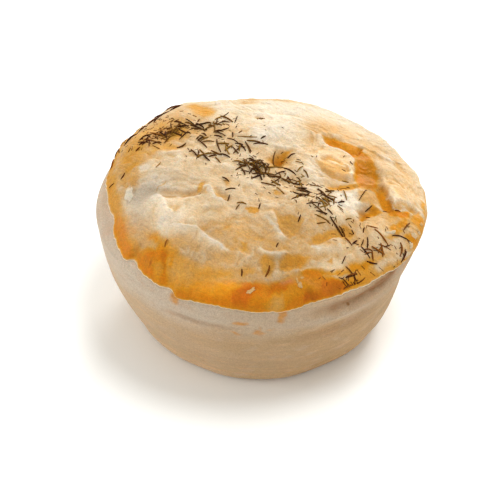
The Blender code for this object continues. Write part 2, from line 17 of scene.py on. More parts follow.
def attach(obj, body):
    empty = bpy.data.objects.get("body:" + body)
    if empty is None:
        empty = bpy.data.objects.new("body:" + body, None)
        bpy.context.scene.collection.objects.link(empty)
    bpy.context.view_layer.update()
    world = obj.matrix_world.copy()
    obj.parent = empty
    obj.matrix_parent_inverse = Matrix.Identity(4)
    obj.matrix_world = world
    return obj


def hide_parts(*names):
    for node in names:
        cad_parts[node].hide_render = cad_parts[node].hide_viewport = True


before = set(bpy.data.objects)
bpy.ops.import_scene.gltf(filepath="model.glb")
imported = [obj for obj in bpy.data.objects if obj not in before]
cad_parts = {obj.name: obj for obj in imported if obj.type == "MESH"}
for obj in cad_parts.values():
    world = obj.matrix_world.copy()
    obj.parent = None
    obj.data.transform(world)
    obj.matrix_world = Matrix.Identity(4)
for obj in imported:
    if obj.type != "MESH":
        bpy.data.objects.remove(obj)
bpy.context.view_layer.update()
print("packed nodes:", ", ".join(sorted(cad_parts)))

# %% [markdown]
# ## The pie's sizes
#
# A pie is turned and pressed by hand, so its form is a few radii and heights plus the ways in which it strays
# from them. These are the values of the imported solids, in millimetres and in degrees from +X, so that every
# surface made here lies where its solid does. The front of the pie faces -Y.

# %% Sizes of the case and the lid
MM = 0.001

RIM_RADIUS = 52.5
BASE_RADIUS = 37.9
CASE_HEIGHT = 43.3
WALL_BELLY = 1.81  # above 1 the wall swells outwards between base and rim
RIM_ROUND = 2.5
BASE_ROUND = 5.0
BASE_SLIP = -0.69  # how far the base sits off the rim's middle, along X

# The pie is a little out of round: (angle, half spread in degrees, how far its outline moves out).
OUT_OF_ROUND = (
    (25, 17, -1.5),
    (50, 10, -0.6),
    (-6, 10, 0.4),
    (170, 14, -0.3),
)
MIDDLE = (0.46, -0.07)  # the middle of the pie's outline, seen from the middle of its rim

GAP = 0.3
LID_EDGE = 0.8
LID_CROWN = 10.2
LID_SHOULDER = 4.0  # higher keeps the top flatter and its shoulder rounder
LEAST_LIFT = 0.55

# How the lid falls to its edge, round the rim: (angle, fall). Below 1 it bulges, above 1 it slopes off.
LID_FALL = (
    (-150, 0.85),
    (-90, 0.95),
    (-40, 1.0),
    (0, 1.25),
    (42, 1.65),
    (85, 1.2),
    (125, 0.8),
    (147, 0.92),
    (170, 0.85),
)

# Where the lid's edge reaches to, round the rim: (angle, reach).
EDGE_REACH = (
    (-178, 48.9),
    (-167, 47.7),
    (-155, 50.1),
    (-144, 51.5),
    (-141, 49.7),
    (-137, 51.1),
    (-129, 52.0),
    (-122, 51.6),
    (-119, 53.3),
    (-110, 52.5),
    (-86, 53.3),
    (-66, 51.8),
    (-48, 52.1),
    (-27, 53.8),
    (-7, 52.9),
    (20, 53.4),
    (48, 52.6),
    (75, 53.4),
    (100, 52.8),
    (128, 53.6),
    (150, 52.9),
    (167, 51.2),
)
EDGE_RAGGED = 0.35
EDGE_RAGS = 11.0  # about how many rags there are to a radian
RAG_SLICE = 0.0

# %% [markdown]
# ## Fields over a surface
#
# Pastry has no straight lines, so most of this pie is made of fields: functions that give every point of a
# surface a number, such as how high it stands or how much glaze lies on it. They are written for whole arrays
# of points at once, because a fine surface has tens of thousands of them.

# %% Helpers for fields
def smooth(low, high, value):
    """0 below low, 1 above high, and an even curve between."""
    share = np.clip((value - low) / (high - low), 0.0, 1.0)
    return share * share * (3.0 - 2.0 * share)


def turn_between(first, second):
    """The smaller turn from one angle to another, in degrees."""
    return (second - first + 180.0) % 360.0 - 180.0


def polar(x, y):
    """The reach and angle of points."""
    return np.hypot(x, y), np.degrees(np.arctan2(y, x))


def plan(reach, angle):
    """The x and y of points at a reach and an angle."""
    turn = np.radians(angle)
    return reach * np.cos(turn), reach * np.sin(turn)


def unevenness(x, y, z, scale):
    """Smooth noise from -1 to 1 at points, with bumps of about the given scale.

    A field over the lid needs only x and y, so it is cut from the noise at a height of its own, its slice.
    """
    points = np.stack(np.broadcast_arrays(x, y, z), axis=-1).reshape(-1, 3) / scale
    values = np.array([noise.noise(Vector(point)) for point in points])
    return values.reshape(np.shape(x))


def wandered(x, y, wanders):
    """Points moved about by noise, from rows of (how far, scale, slice for x, slice for y)."""
    moved_x, moved_y = x, y
    for move, scale, slice_x, slice_y in wanders:
        moved_x = moved_x + move * unevenness(x, y, slice_x, scale)
        moved_y = moved_y + move * unevenness(x, y, slice_y, scale)
    return moved_x, moved_y


def along_rim(angle, stops):
    """A value read smoothly from stops of (angle, value) that go once round the rim."""
    stops = stops + ((stops[0][0] + 360, stops[0][1]),)
    angle = stops[0][0] + (angle - stops[0][0]) % 360.0
    value = np.full(np.shape(angle), float(stops[0][1]))
    for (first, low), (last, high) in zip(stops, stops[1:]):
        value += (high - low) * smooth(first, last, angle)
    return value


def turned_frame(x, y, centre_x, centre_y, heading):
    """Places of points along and across a heading, seen from a centre."""
    cosine = math.cos(math.radians(heading))
    sine = math.sin(math.radians(heading))
    dx = x - centre_x
    dy = y - centre_y
    return dx * cosine + dy * sine, dy * cosine - dx * sine


def swung(along, across, heading):
    """Steps along and across a heading, as steps in x and y."""
    return turned_frame(along, across, 0.0, 0.0, -heading)


def beside_course(x, y, course):
    """How far points lie from a line through several points, the side they lie on, and their share of it."""
    steps = [math.dist(start, end) for start, end in zip(course, course[1:])]
    nearest = np.full(np.shape(x), np.inf)
    left = np.zeros(np.shape(x), bool)
    share = np.zeros(np.shape(x))
    passed = 0.0
    for (start_x, start_y), (end_x, end_y), step in zip(course, course[1:], steps):
        heading = math.degrees(math.atan2(end_y - start_y, end_x - start_x))
        along, across = turned_frame(x, y, start_x, start_y, heading)
        held = np.clip(along, 0.0, step)
        distance = np.hypot(along - held, across)
        closer = distance < nearest
        nearest = np.where(closer, distance, nearest)
        left = np.where(closer, across > 0.0, left)
        share = np.where(closer, (passed + held) / sum(steps), share)
        passed += step
    return nearest, left, share


def faded_ends(share, fade):
    """1 along the middle of a course, and an even fall to 0 over a share of its length at each end."""
    return smooth(0.0, fade, share) * smooth(1.0, 1.0 - fade, share)


def patches(x, y, spots, sharpness=2.0):
    """The sum of soft spots, each (x, y, half length, half width, heading, strength)."""
    total = np.zeros(np.shape(x))
    for centre_x, centre_y, half_length, half_width, heading, strength in spots:
        along, across = turned_frame(x, y, centre_x, centre_y, heading)
        far = np.hypot(along / half_length, across / half_width)
        total += strength * np.exp(-(far**sharpness))
    return total


def settled(x, y):
    """Points moved in or out as the pie's outline is, with the pie's middle over the origin."""
    angle = polar(x, y)[1]
    growth = np.ones(np.shape(x))
    for centre, spread, move in OUT_OF_ROUND:
        growth += move / RIM_RADIUS * np.exp(-((turn_between(centre, angle) / spread) ** 2))
    return x * growth - MIDDLE[0], y * growth - MIDDLE[1]


# %% Helpers for meshes
def read_points(mesh):
    """A mesh's vertices as an array of rows, in metres."""
    flat = np.empty(len(mesh.vertices) * 3)
    mesh.vertices.foreach_get("co", flat)
    return flat.reshape(-1, 3)


def write_points(mesh, x, y, z):
    """Puts a mesh's vertices at places in millimetres."""
    mesh.vertices.foreach_set("co", (np.stack([x, y, z], axis=-1) * MM).ravel())
    mesh.update()


def paint(mesh, name, values):
    """Keeps a field on a mesh's vertices, where a material can read it by name."""
    layer = mesh.attributes.new(name, "FLOAT", "POINT")
    layer.data.foreach_set("value", np.asarray(values, dtype=np.float32))


def outward(bm):
    """A bmesh with its faces turned to point out."""
    bmesh.ops.recalc_face_normals(bm, faces=bm.faces[:])
    return bm


def mesh_from(bm, name):
    """Turns a bmesh into a mesh."""
    mesh = bpy.data.meshes.new(name)
    bm.to_mesh(mesh)
    bm.free()
    return mesh


def show(mesh, name):
    """Adds a mesh to the scene as a smooth piece of the pie."""
    piece = bpy.data.objects.new(name, mesh)
    bpy.context.scene.collection.objects.link(piece)
    mesh.shade_smooth()
    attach(piece, "root")
    triangles = sum(len(face.vertices) - 2 for face in mesh.polygons)
    print(f"{name}: {len(mesh.vertices)} points, {triangles} triangles")
    return piece


# %% [markdown]
# ## The pastry case
#
# The case is raw-edged shortcrust that baked in a deep tin: pale, almost grey near the rim, a little darker
# where it touched the tin. It could be a cylinder pushed about with sculpting brushes, but its outline is
# exact enough to be drawn once and turned. The outline is a few arcs and one curved wall, spun about the
# middle, and then every point of the wall is pressed in or out by a field.

# %% The wall's relief
# (angle, half spread in degrees, height, half height, how far it stands out)
WALL_RELIEF = (
    (-104, 24, 38.5, 2.6, 0.35),
    (-108, 16, 34.7, 0.9, -0.40),
    (-54, 17, 38.6, 1.5, -1.10),
    (-57, 19, 34.6, 1.6, 0.60),
    (-56, 18, 30.6, 1.5, -0.35),
    (-8, 30, 26.5, 9.0, -2.30),
    (-37, 12, 11.0, 8.0, 0.95),
    (-127, 15, 3.0, 9.0, -0.85),
    (-58, 12, 3.0, 9.0, -0.75),
    (70, 40, 30.0, 8.0, -0.80),
    (150, 30, 24.0, 7.0, 0.60),
)
WALL_UNEVEN = 0.35
WALL_UNEVEN_SCALE = 17.0

# Thin creases and beads: (points of angle and height, width below, width above, how far it stands out)
WALL_CREASES = (
    (((-126, 35.6), (-121, 34.6), (-116, 34), (-111, 33.5), (-103, 33.6), (-94, 33.8)), 0.9, 0.5, -0.32),
    (((-86, 32.4), (-76, 32.4), (-67, 33.8), (-58, 35.6), (-48, 36.4), (-38, 36.3)), 1.6, 0.5, 0.28),
    (((-78, 29.4), (-68, 29.9), (-58, 30.7), (-47, 30.2)), 0.9, 0.9, -0.16),
    (((-150, 39), (-138, 38), (-128, 39.4)), 1.2, 1.2, 0.14),
    (((20, 36), (48, 34.6), (75, 35.6), (104, 34)), 1.0, 0.6, -0.30),
    (((118, 33), (140, 35), (168, 34)), 0.7, 1.2, -0.26),
    (((-30, 37), (-12, 35.4), (6, 36.5)), 0.8, 0.8, -0.24),
)
WALL_GRAIN = ((5.0, 0.05), (2.1, 0.035), (0.9, 0.018))  # (scale, height)
WALL_GRAIN_STRETCH = 3.5  # the grain's bumps are this much longer round the pie than up it
CREASE_FADE = 0.25  # the share of a crease's length over which each end fades out
FOOT_CALM = 2.0  # the height at which the creases and the grain have their full depth


def wall_radius(height):
    """The case's radius at a height, before its rim and base are rounded."""
    share = 1.0 - min(1.0, max(0.0, height / CASE_HEIGHT))
    return BASE_RADIUS + (RIM_RADIUS - BASE_RADIUS) * (1.0 - share**WALL_BELLY)


def wall_relief(angle, height):
    """How far the wall stands out at angles and heights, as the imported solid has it."""
    out = np.zeros(np.shape(angle))
    for centre, spread, level, half_height, stand in WALL_RELIEF:
        across = turn_between(centre, angle) / spread
        up = (height - level) / half_height
        out += stand * np.exp(-(across**2) - up**2)
    out += WALL_UNEVEN * unevenness(*plan(RIM_RADIUS, angle), height, WALL_UNEVEN_SCALE)
    return out * smooth(CASE_HEIGHT, CASE_HEIGHT - RIM_ROUND, height)


def wall_detail(angle, height):
    """The finer creases, beads and grain of the wall."""
    across_wall = np.radians(angle) * RIM_RADIUS
    out = np.zeros(np.shape(angle))
    for course, below, above, stand in WALL_CREASES:
        unrolled = [(math.radians(place) * RIM_RADIUS, level) for place, level in course]
        distance, left, share = beside_course(across_wall, height, unrolled)
        width = np.where(left, above, below)
        out += stand * faded_ends(share, CREASE_FADE) * np.exp(-((distance / width) ** 2))
    x, y = plan(RIM_RADIUS / WALL_GRAIN_STRETCH, angle)
    for scale, stand in WALL_GRAIN:
        out += stand * unevenness(x, y, height, scale)
    return out * smooth(CASE_HEIGHT, CASE_HEIGHT - RIM_ROUND, height) * smooth(0.0, FOOT_CALM, height)


# %% Turn the case
CASE_STEPS = 480
WALL_ROWS = 84
RIM_STEPS = 8
BASE_STEPS = 10
BASE_RINGS = (30.0, 20.0, 10.0)
WELD = 1e-7  # metres, within which doubled points are joined


def arc(centre_r, centre_z, radius, first, last, steps):
    """Points of an arc in the plane of radius and height; angles run from straight out towards up."""
    points = []
    for step in range(steps + 1):
        angle = math.radians(first + (last - first) * step / steps)
        points.append((centre_r + radius * math.cos(angle), centre_z + radius * math.sin(angle)))
    return points


def case_outline():
    """The turned outline: over the flat top and rim, down the wall, and in along the base."""
    rim_centre = CASE_HEIGHT - RIM_ROUND
    outline = [(0.0, CASE_HEIGHT)]
    outline += arc(RIM_RADIUS - RIM_ROUND, rim_centre, RIM_ROUND, 90, 0, RIM_STEPS)
    for row in range(1, WALL_ROWS + 1):
        height = rim_centre + (BASE_ROUND - rim_centre) * row / WALL_ROWS
        outline.append((wall_radius(height), height))
    outline += arc(wall_radius(BASE_ROUND) - BASE_ROUND, BASE_ROUND, BASE_ROUND, 0, -90, BASE_STEPS)[1:]
    outline += [(radius, 0.0) for radius in BASE_RINGS] + [(0.0, 0.0)]
    return outline


def turned(outline, steps, name):
    """A closed mesh spun about Z from an outline that starts and ends on the axis."""
    bm = bmesh.new()
    ring = [bm.verts.new((radius * MM, 0.0, height * MM)) for radius, height in outline]
    sides = [bm.edges.new(pair) for pair in zip(ring, ring[1:])]
    bmesh.ops.spin(
        bm,
        geom=ring + sides,
        cent=(0, 0, 0),
        axis=(0, 0, 1),
        angle=2 * math.pi,
        steps=steps,
        use_merge=True,
    )
    bmesh.ops.remove_doubles(bm, verts=bm.verts[:], dist=WELD)
    return mesh_from(outward(bm), name)


def press_case(mesh):
    """Presses the turned case in and out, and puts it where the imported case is."""
    x, y, z = read_points(mesh).T / MM
    radius, angle = polar(x, y)
    wall = radius > RIM_RADIUS / 2
    relief = np.zeros(len(x))
    relief[wall] = (wall_relief(angle[wall], z[wall]) + wall_detail(angle[wall], z[wall])) / radius[wall]
    x, y = settled(x * (1.0 + relief) + BASE_SLIP * (1.0 - z / CASE_HEIGHT), y * (1.0 + relief))
    write_points(mesh, x, y, z)
    return angle, z


case_mesh = turned(case_outline(), CASE_STEPS, "pie_case")
wall_angle, wall_height = press_case(case_mesh)

# %% [markdown]
# ### What has run down the wall
#
# Egg wash was brushed over the lid, and a little of it ran or dripped onto the case before it baked. Such
# spots could be a texture, but they sit at known places, so each is a soft spot in a field of angle and
# height, which the case's material reads. Two more fields hold where the wall is a browner tan, most of all
# at its front right, and where it is dark brown: toasted specks, and painted shade under the lid's
# overhanging edge and in the grooves.

# %% Paint the wall
# (angle, height, half width in degrees, half height, strength)
WASH_DABS = (
    (-119.8, 41.5, 1.9, 3.6, 1.0),
    (-97.0, 36.2, 2.9, 1.2, 0.95),
    (-98.4, 31.6, 2.6, 1.0, 0.75),
    (-90.8, 32.2, 2.4, 1.6, 0.75),
    (-90.0, 34.8, 1.0, 0.9, 0.6),
    (-86.5, 34.0, 1.6, 0.8, 0.45),
    (-83.2, 40.0, 1.8, 3.4, 1.0),
    (-108.0, 25.5, 5.0, 2.2, 0.22),
    (-30.0, 38.0, 4.0, 4.0, 0.55),
    (35.0, 38.0, 3.0, 3.0, 0.5),
    (96.0, 39.0, 2.2, 3.6, 0.7),
    (152.0, 39.0, 2.6, 3.0, 0.6),
)
# How far the wall is a browner tan at angles round it, most at its front right, and spots, in the same form,
# where it is more or less
WALL_TAN = (
    (-140, 0.0),
    (-112, 0.1),
    (-88, 0.6),
    (-62, 1.0),
    (0, 0.9),
    (90, 0.6),
    (160, 0.3),
)
WALL_TAN_SPOTS = (
    (-62.0, 34.3, 18.0, 2.2, -0.6),
    (-55.0, 38.5, 14.0, 3.0, 0.5),
    (-48.0, 22.0, 22.0, 14.0, 0.35),
    (-30.0, 33.0, 14.0, 6.0, 0.4),
    (-70.0, 27.5, 18.0, 3.2, 0.35),
    (-105.0, 24.0, 14.0, 4.0, 0.45),
)
# Where the wall is dark brown, in the same form: toasted specks, and painted shade under the lid's edge
# and in the grooves
WALL_TOAST_AND_SHADE = (
    (-45.0, 40.0, 8.0, 2.3, 1.05),
    (-59.0, 39.6, 11.0, 2.2, 0.62),
    (-20.0, 39.0, 12.0, 3.0, 0.5),
    (60.0, 39.0, 20.0, 2.5, 0.5),
    (-113.0, 33.4, 12.0, 0.9, 0.35),
    (-60.3, 37.4, 0.35, 0.5, 1.2),
    (-115.0, 8.5, 0.7, 0.5, 0.6),
    (-60.0, 27.5, 16.0, 2.6, 0.30),
    (-62.0, 38.0, 12.0, 2.6, 0.22),
    (-45.0, 34.0, 12.0, 5.0, 0.16),
)
WALL_SPOT_SHARPNESS = 3
STRAY_SCALE = 3.0
# How far noise bends the spots of each field: (degrees, millimetres)
WASH_STRAY = (1.3, 1.3)
TAN_STRAY = (1.3, 0.52)
TOAST_AND_SHADE_STRAY = (2.6, 0.65)


wall_noise = unevenness(*plan(RIM_RADIUS, wall_angle), wall_height, STRAY_SCALE)


def wall_spots(spots, stray):
    """A field of soft spots on the wall, bent about by noise."""
    angle = wall_angle + stray[0] * wall_noise
    height = wall_height + stray[1] * wall_noise
    total = np.zeros(len(angle))
    for centre, level, half_width, half_height, strength in spots:
        across = turn_between(centre, angle) / half_width
        up = (height - level) / half_height
        total += strength * np.exp(-(np.hypot(across, up) ** WALL_SPOT_SHARPNESS))
    return total


paint(case_mesh, "wash", wall_spots(WASH_DABS, WASH_STRAY))
paint(case_mesh, "toast", wall_spots(WALL_TOAST_AND_SHADE, TOAST_AND_SHADE_STRAY))
paint(case_mesh, "tan", along_rim(wall_angle, WALL_TAN) + wall_spots(WALL_TAN_SPOTS, TAN_STRAY))
case = show(case_mesh, "pie_case")
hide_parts("pastry_case")

# %% [markdown]
# ## The pastry lid
#
# The lid is thin flaky pastry that has puffed over the filling and stuck to the case all round. Its form
# comes in layers: a dome, broad swells and dents, folds where the sheet buckled, tongues where its leaves
# came apart, and crinkles everywhere. A sculptor would press these in one after another. Here each is a short
# entry in a table, and a field adds them up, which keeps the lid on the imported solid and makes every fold
# easy to move.

# %% The lid's relief
# Broad swells and dents: (x, y, half length, half width, heading, height)
SWELLS = (
    (-27, 29, 18, 14, 45, 2.2),
    (28, 30, 17, 12, 135, -0.8),
    (-33, -2, 15, 9, 100, 0.7),
    (-22, -23, 13, 8, -35, 0.8),
    (-2, -12, 12, 7, 10, 0.7),
    (12, 20, 13, 9, 20, 0.8),
    (20, -18, 9, 6, -30, 0.9),
    (43, 2, 13, 5, 95, 1.3),
    (-31, -37.6, 4.8, 4.4, 0, 1.0),  # a round blister
    (6.3, 6.0, 3.8, 2.8, 75, -3.4),  # a steam dimple
    (8.8, -27.6, 4.6, 3.8, -20, -1.0),
    (25.3, -26.6, 3.6, 1.9, -10, -0.8),
    (20.5, -34.5, 6.0, 2.4, 5, 0.8),
    (33, -19, 3.2, 2.4, 20, -1.4),
    (8.5, -41, 4.8, 2.6, 6, -1.2),
    (2, -41.8, 2.4, 1.6, 90, -0.8),
    (-5.5, -36.6, 2.0, 1.4, 0, -0.6),
    (-15, -39, 6.0, 2.0, -14, -0.8),
    (29.5, -38.6, 3.8, 1.8, 35, -0.6),
    (-38, -7.5, 2.8, 2.6, 0, -0.5),
    (-29, -11.6, 3.0, 1.8, -20, -0.9),
    (-20.5, -12.4, 3.6, 1.5, 0, -0.9),
    (-12, -14.8, 2.8, 2.0, -50, -0.9),
    (-20, 34, 6.5, 4.0, 90, -1.2),
    (-0.5, 29.5, 1.6, 1.2, 0, -0.9),
    (-8, 41, 9.0, 2.6, 3, -0.8),
    (33, 1, 7.5, 3.0, 88, -1.4),  # the sunken patch beside the flaky tongues
    (37.8, -11.4, 6.0, 2.2, 108, -1.6),
    (26.5, 15.6, 6.0, 2.6, -38, -0.9),
    (25.5, -7.6, 4.8, 1.3, -4, -1.0),
)

# Folds: (points, width of the side to the left of their course, width to the right, height). A narrow width
# makes that side steep, and a negative height makes a furrow.
FOLDS = (
    (((-29, -26), (-24, -27.4), (-19.5, -29), (-16.5, -33), (-13, -35), (-9.5, -37.3)), 0.9, 3.2, 1.3),
    (((-33, -9.5), (-31, -14), (-29.5, -19.5), (-27, -23.5)), 0.8, 3.0, 1.1),
    (((-38, -7), (-33, -8.2), (-28, -9.6), (-23.5, -11), (-19, -11.2), (-16.5, -9.8)), 0.6, 2.6, -1.4),
    (((-17, -8), (-15.3, -12), (-14.6, -16), (-12, -17.7), (-9.8, -18.2)), 0.6, 2.2, 0.9),
    (((-29.4, -33.4), (-28.4, -36.5), (-28.9, -39.4), (-31.5, -41.6)), 0.7, 0.9, -0.7),
    (((3, -21), (4.2, -25), (4.8, -29), (6.2, -31.8), (8.5, -33.2)), 0.8, 3.0, 1.5),
    (((-1.8, -34.5), (-0.6, -37), (2, -38.3), (5.5, -38.2), (9, -36.9)), 1.5, 0.9, 1.1),
    (((14.8, -33.2), (18, -31.7), (22, -29.6), (25, -28), (28.5, -26.5)), 2.2, 0.9, -0.9),
    (((-3, -45.3), (1.5, -46.6), (8, -45.2), (12.5, -43.4), (17, -41.6), (24, -41.4)), 0.8, 0.8, 0.35),
    (((4.4, -39.6), (4.6, -42), (4.4, -45)), 0.7, 0.7, 0.4),
    (((20, 21.5), (21.2, 16.8), (23.6, 13.8), (27.4, 11.2), (30, 8.8), (31, 5.8)), 2.8, 0.6, -1.5),
    (((32.8, 14.6), (32, 12.5), (31.4, 10)), 0.6, 0.6, -1.0),
    (((19, 6.2), (22.5, 5.6), (25.2, 3), (27, 0.2), (28.6, -3)), 0.5, 2.0, -0.9),
    (((18, 5), (19.2, 0.4), (21.8, -2.6), (25.4, -4.4), (29, -5)), 0.5, 1.8, -0.9),
    (((21, -9.3), (25, -9), (29.5, -9.4), (33, -7.6)), 0.7, 2.0, 0.6),
    (((36, 6), (35.8, 0), (36.4, -5.5)), 1.6, 2.6, -0.6),
    (((36.2, -4), (37.8, -6.5), (39.2, -9.8), (41.6, -14.6)), 0.6, 2.4, -1.4),
    (((41, -13.8), (45.2, -11.8), (49.4, -11)), 0.6, 1.8, -1.3),
    (((28, -17.2), (31.5, -16.4), (35.5, -16.2)), 0.6, 2.2, -1.1),
    (((30.4, -16.8), (30.4, -19.5), (30.2, -22.5)), 2.0, 0.6, -1.0),
    (((-40, -32), (-36, -27), (-33, -20), (-33, -14)), 1.4, 3.0, -0.5),
    (((-45, 2), (-40, 6), (-34, 7), (-29, 4)), 1.8, 1.2, -0.6),
    (((-27, 12), (-26, 6), (-26, 0), (-27, -6)), 1.0, 2.6, 0.6),
    (((-8, 35), (2, 33.5), (12, 31.5), (22, 26)), 3.0, 1.2, -0.6),
    (((38, 25), (44, 15), (47.5, 3)), 1.4, 2.4, -0.5),
    (((34.5, 29), (32, 24), (29, 20)), 1.2, 2.0, -0.5),
    (((-12, -6), (-4, -8), (6, -13), (16, -21)), 3.0, 1.6, 0.4),
)
FOLD_FADE = 0.22  # the share of a fold's length over which each end fades out

# Tongues of flaky pastry: (x, y, length, width, heading of the free tip, how high the tip stands)
FLAKES = (
    (25.5, 6, 15, 8.5, -55, 1.0),
    (23.5, 0.6, 13, 6.0, -38, 0.8),
    (28, -12.5, 12, 10, -20, 0.9),
    (-41.2, -6.4, 6.0, 2.6, 95, 0.7),
    (43.5, -8, 12, 8, -105, 1.1),
    (40, 16, 12, 8, -60, 0.6),
    (30, 25, 10, 7, -50, 0.5),
    (39.5, -23.8, 5, 2.4, 5, 0.6),
    (-2.5, -49.4, 4.0, 1.8, 10, 0.5),
    (12, -47.6, 4.2, 2.6, -60, 0.6),
    (-16, 8, 12, 9, 150, 0.4),
    (-34, -30, 9, 6, -120, 0.4),
    (4, -16, 10, 8, -80, 0.4),
    (-12, 40, 12, 6, 95, 0.6),
    (12, 38, 12, 6, 80, 0.6),
)
FLAKE_LIP = 0.12  # softness of a flake's free edge, as a share of its size
FLAKE_SLOPE = (-1.0, 0.9)  # where along its half length a tongue starts to rise and where it is fully up

RELIEF_NOISE = ((15.0, 0.75), (6.5, 0.40))  # (scale, height)
RELIEF_SLICE = 3.7  # where the noise is cut for it
RELIEF_END = 0.93  # from this share of the reach the relief dies down towards the edge
RELIEF_WANDER = ((0.8, 7.0, 11.3, 23.9),)  # how noise moves the swells, folds and tongues about

# %% Crinkles
CRINKLE_SEED = 7
CRINKLES = 34
CRINKLE_REACH = 45.0
CRINKLE_HEADING = (-35.0, 32.0)  # mean and spread
CRINKLE_LENGTHS = (4.0, 10.0)
CRINKLE_RISES = (0.15, 0.5)
CRINKLE_WIDTHS = (0.7, 2.2)

FINE_CRINKLE_SEED = 19
FINE_CRINKLES = 170
FINE_CRINKLE_REACH = 49.0
FINE_CRINKLE_LENGTHS = (2.5, 8.0)
FINE_CRINKLE_RISES = (-0.44, 0.50)
FINE_CRINKLE_WIDTHS = (0.35, 1.2)


def crinkles(seed, count, farthest, lengths, rises, both_widths):
    """Short folds strewn over the lid, in the same form as FOLDS."""
    draw = random.Random(seed)
    strewn = []
    for _ in range(count):
        reach = farthest * math.sqrt(draw.random())
        x, y = plan(reach, draw.uniform(-180.0, 180.0))
        half = draw.uniform(*lengths) / 2
        step_x, step_y = plan(half, draw.gauss(*CRINKLE_HEADING))
        course = ((x - step_x, y - step_y), (x + step_x, y + step_y))
        widths = draw.sample(both_widths, 2)
        strewn.append((course, *widths, draw.uniform(*rises)))
    return strewn


def fold_relief(x, y, folds):
    """The height that folds add at places."""
    height = np.zeros(np.shape(x))
    for course, left_width, right_width, rise in folds:
        distance, left, share = beside_course(x, y, course)
        width = np.where(left, left_width, right_width)
        height += rise * faded_ends(share, FOLD_FADE) * np.exp(-((distance / width) ** 2))
    return height


main_crinkles = crinkles(
    CRINKLE_SEED, CRINKLES, CRINKLE_REACH, CRINKLE_LENGTHS, CRINKLE_RISES, CRINKLE_WIDTHS
)
fine_crinkles = crinkles(
    FINE_CRINKLE_SEED,
    FINE_CRINKLES,
    FINE_CRINKLE_REACH,
    FINE_CRINKLE_LENGTHS,
    FINE_CRINKLE_RISES,
    FINE_CRINKLE_WIDTHS,
)
print(len(FOLDS), "folds,", len(main_crinkles) + len(fine_crinkles), "crinkles")


# %% The lid's height at any place
def edge_reach(angle):
    """How far the lid's ragged edge reaches at angles."""
    rags = unevenness(*plan(1.0, angle), RAG_SLICE, 1.0 / EDGE_RAGS)
    return along_rim(angle, EDGE_REACH) + EDGE_RAGGED * rags


def flake_relief(x, y):
    """The height that the tongues of pastry add at places."""
    height = np.zeros(np.shape(x))
    for centre_x, centre_y, length, width, heading, rise in FLAKES:
        along, across = turned_frame(x, y, centre_x, centre_y, heading)
        along /= length / 2
        across /= width / 2
        inside = smooth(1.0 + FLAKE_LIP, 1.0 - FLAKE_LIP, np.hypot(along, across))
        height += rise * inside * smooth(*FLAKE_SLOPE, along)
    return height


def lid_relief(x, y):
    """The height of the lid's swells, folds and flakes at places on it."""
    height = np.zeros(np.shape(x))
    for scale, rise in RELIEF_NOISE:
        height += rise * unevenness(x, y, RELIEF_SLICE, scale)
    x, y = wandered(x, y, RELIEF_WANDER)
    height += patches(x, y, SWELLS)
    height += fold_relief(x, y, FOLDS + tuple(main_crinkles))
    return height + flake_relief(x, y)


def lid_lift(reach, angle):
    """The lid's thickness above the gap, at reaches and angles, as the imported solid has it."""
    share = np.minimum(1.0, reach / edge_reach(angle))
    crown = (1.0 - share**LID_SHOULDER) ** along_rim(angle, LID_FALL)
    relief = lid_relief(*plan(reach, angle)) * smooth(1.0, RELIEF_END, share)
    return np.maximum(LEAST_LIFT, LID_EDGE + LID_CROWN * crown + relief)


def over_rim(reach, angle, lift):
    """Points at reaches and angles, lifted off the case's top along the way it faces there."""
    flat = RIM_RADIUS - RIM_ROUND
    past = np.maximum(0.0, reach - flat) / RIM_ROUND
    drop = np.maximum(0.0, past - math.pi / 2) * RIM_ROUND
    lean = np.minimum(past, math.pi / 2)
    x, y = plan(np.minimum(reach, flat) + (RIM_ROUND + lift) * np.sin(lean), angle)
    height = CASE_HEIGHT + lift - (RIM_ROUND + lift) * (1.0 - np.cos(lean)) - drop
    return *settled(x, y), height


# %% [markdown]
# ### Leaves, bubbles and grain
#
# Close up, the lid is not smooth. Its top leaf is cracked and has let go in places, so its surface steps down
# along ragged lines; small bubbles rose in it; and it has a fine dry grain. The steps come from a simple
# trick: a soft noise is cut into terraces, and the terraces' edges run like the edges of torn leaves.

# %% The lid's fine detail
LEAF_SCALE = 13.0
LEAF_LEVELS = (-0.28, -0.05, 0.16, 0.34)
LEAF_STEP = 0.34
LEAF_EDGE = 0.018  # how sharply a leaf ends, in the noise's own measure
LEAF_SLICE = 31.0
LEAF_BEND = 1.6  # how far the torn edges are bent about
LEAF_BEND_SCALE = 3.0
LEAF_BEND_SLICE = 41.0
BUBBLE_SEED = 5
BUBBLES = 90
BUBBLE_REACH = 50.0
BUBBLE_RADII = (0.5, 1.7)
BUBBLE_RISE = 0.12  # height as a share of the radius
BUBBLE_SIDE = (1.25, 0.5)  # where a bubble's side starts and ends, as shares of its radius
LID_GRAIN = ((3.4, 0.34), (1.6, 0.19), (0.8, 0.08))  # (scale, height)
LID_GRAIN_SLICE = 53.0


def leaf_steps(x, y):
    """Terraces whose edges run like those of torn leaves of pastry."""
    bend = LEAF_BEND * unevenness(x, y, LEAF_BEND_SLICE, LEAF_BEND_SCALE)
    field = unevenness(x + bend, y - bend, LEAF_SLICE, LEAF_SCALE)
    return sum(LEAF_STEP * smooth(level - LEAF_EDGE, level + LEAF_EDGE, field) for level in LEAF_LEVELS)


def bubbles(x, y):
    """Small round bubbles, strewn evenly."""
    draw = random.Random(BUBBLE_SEED)
    height = np.zeros(np.shape(x))
    for _ in range(BUBBLES):
        centre_x, centre_y = plan(BUBBLE_REACH * math.sqrt(draw.random()), draw.uniform(-180.0, 180.0))
        radius = draw.uniform(*BUBBLE_RADII)
        far = np.hypot(x - centre_x, y - centre_y) / radius
        height += BUBBLE_RISE * radius * smooth(*BUBBLE_SIDE, far)
    return height


def lid_detail(x, y):
    """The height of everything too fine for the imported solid."""
    height = leaf_steps(x, y) + bubbles(x, y) + fold_relief(x, y, fine_crinkles)
    for scale, rise in LID_GRAIN:
        height += rise * unevenness(x, y, LID_GRAIN_SLICE, scale)
    return height


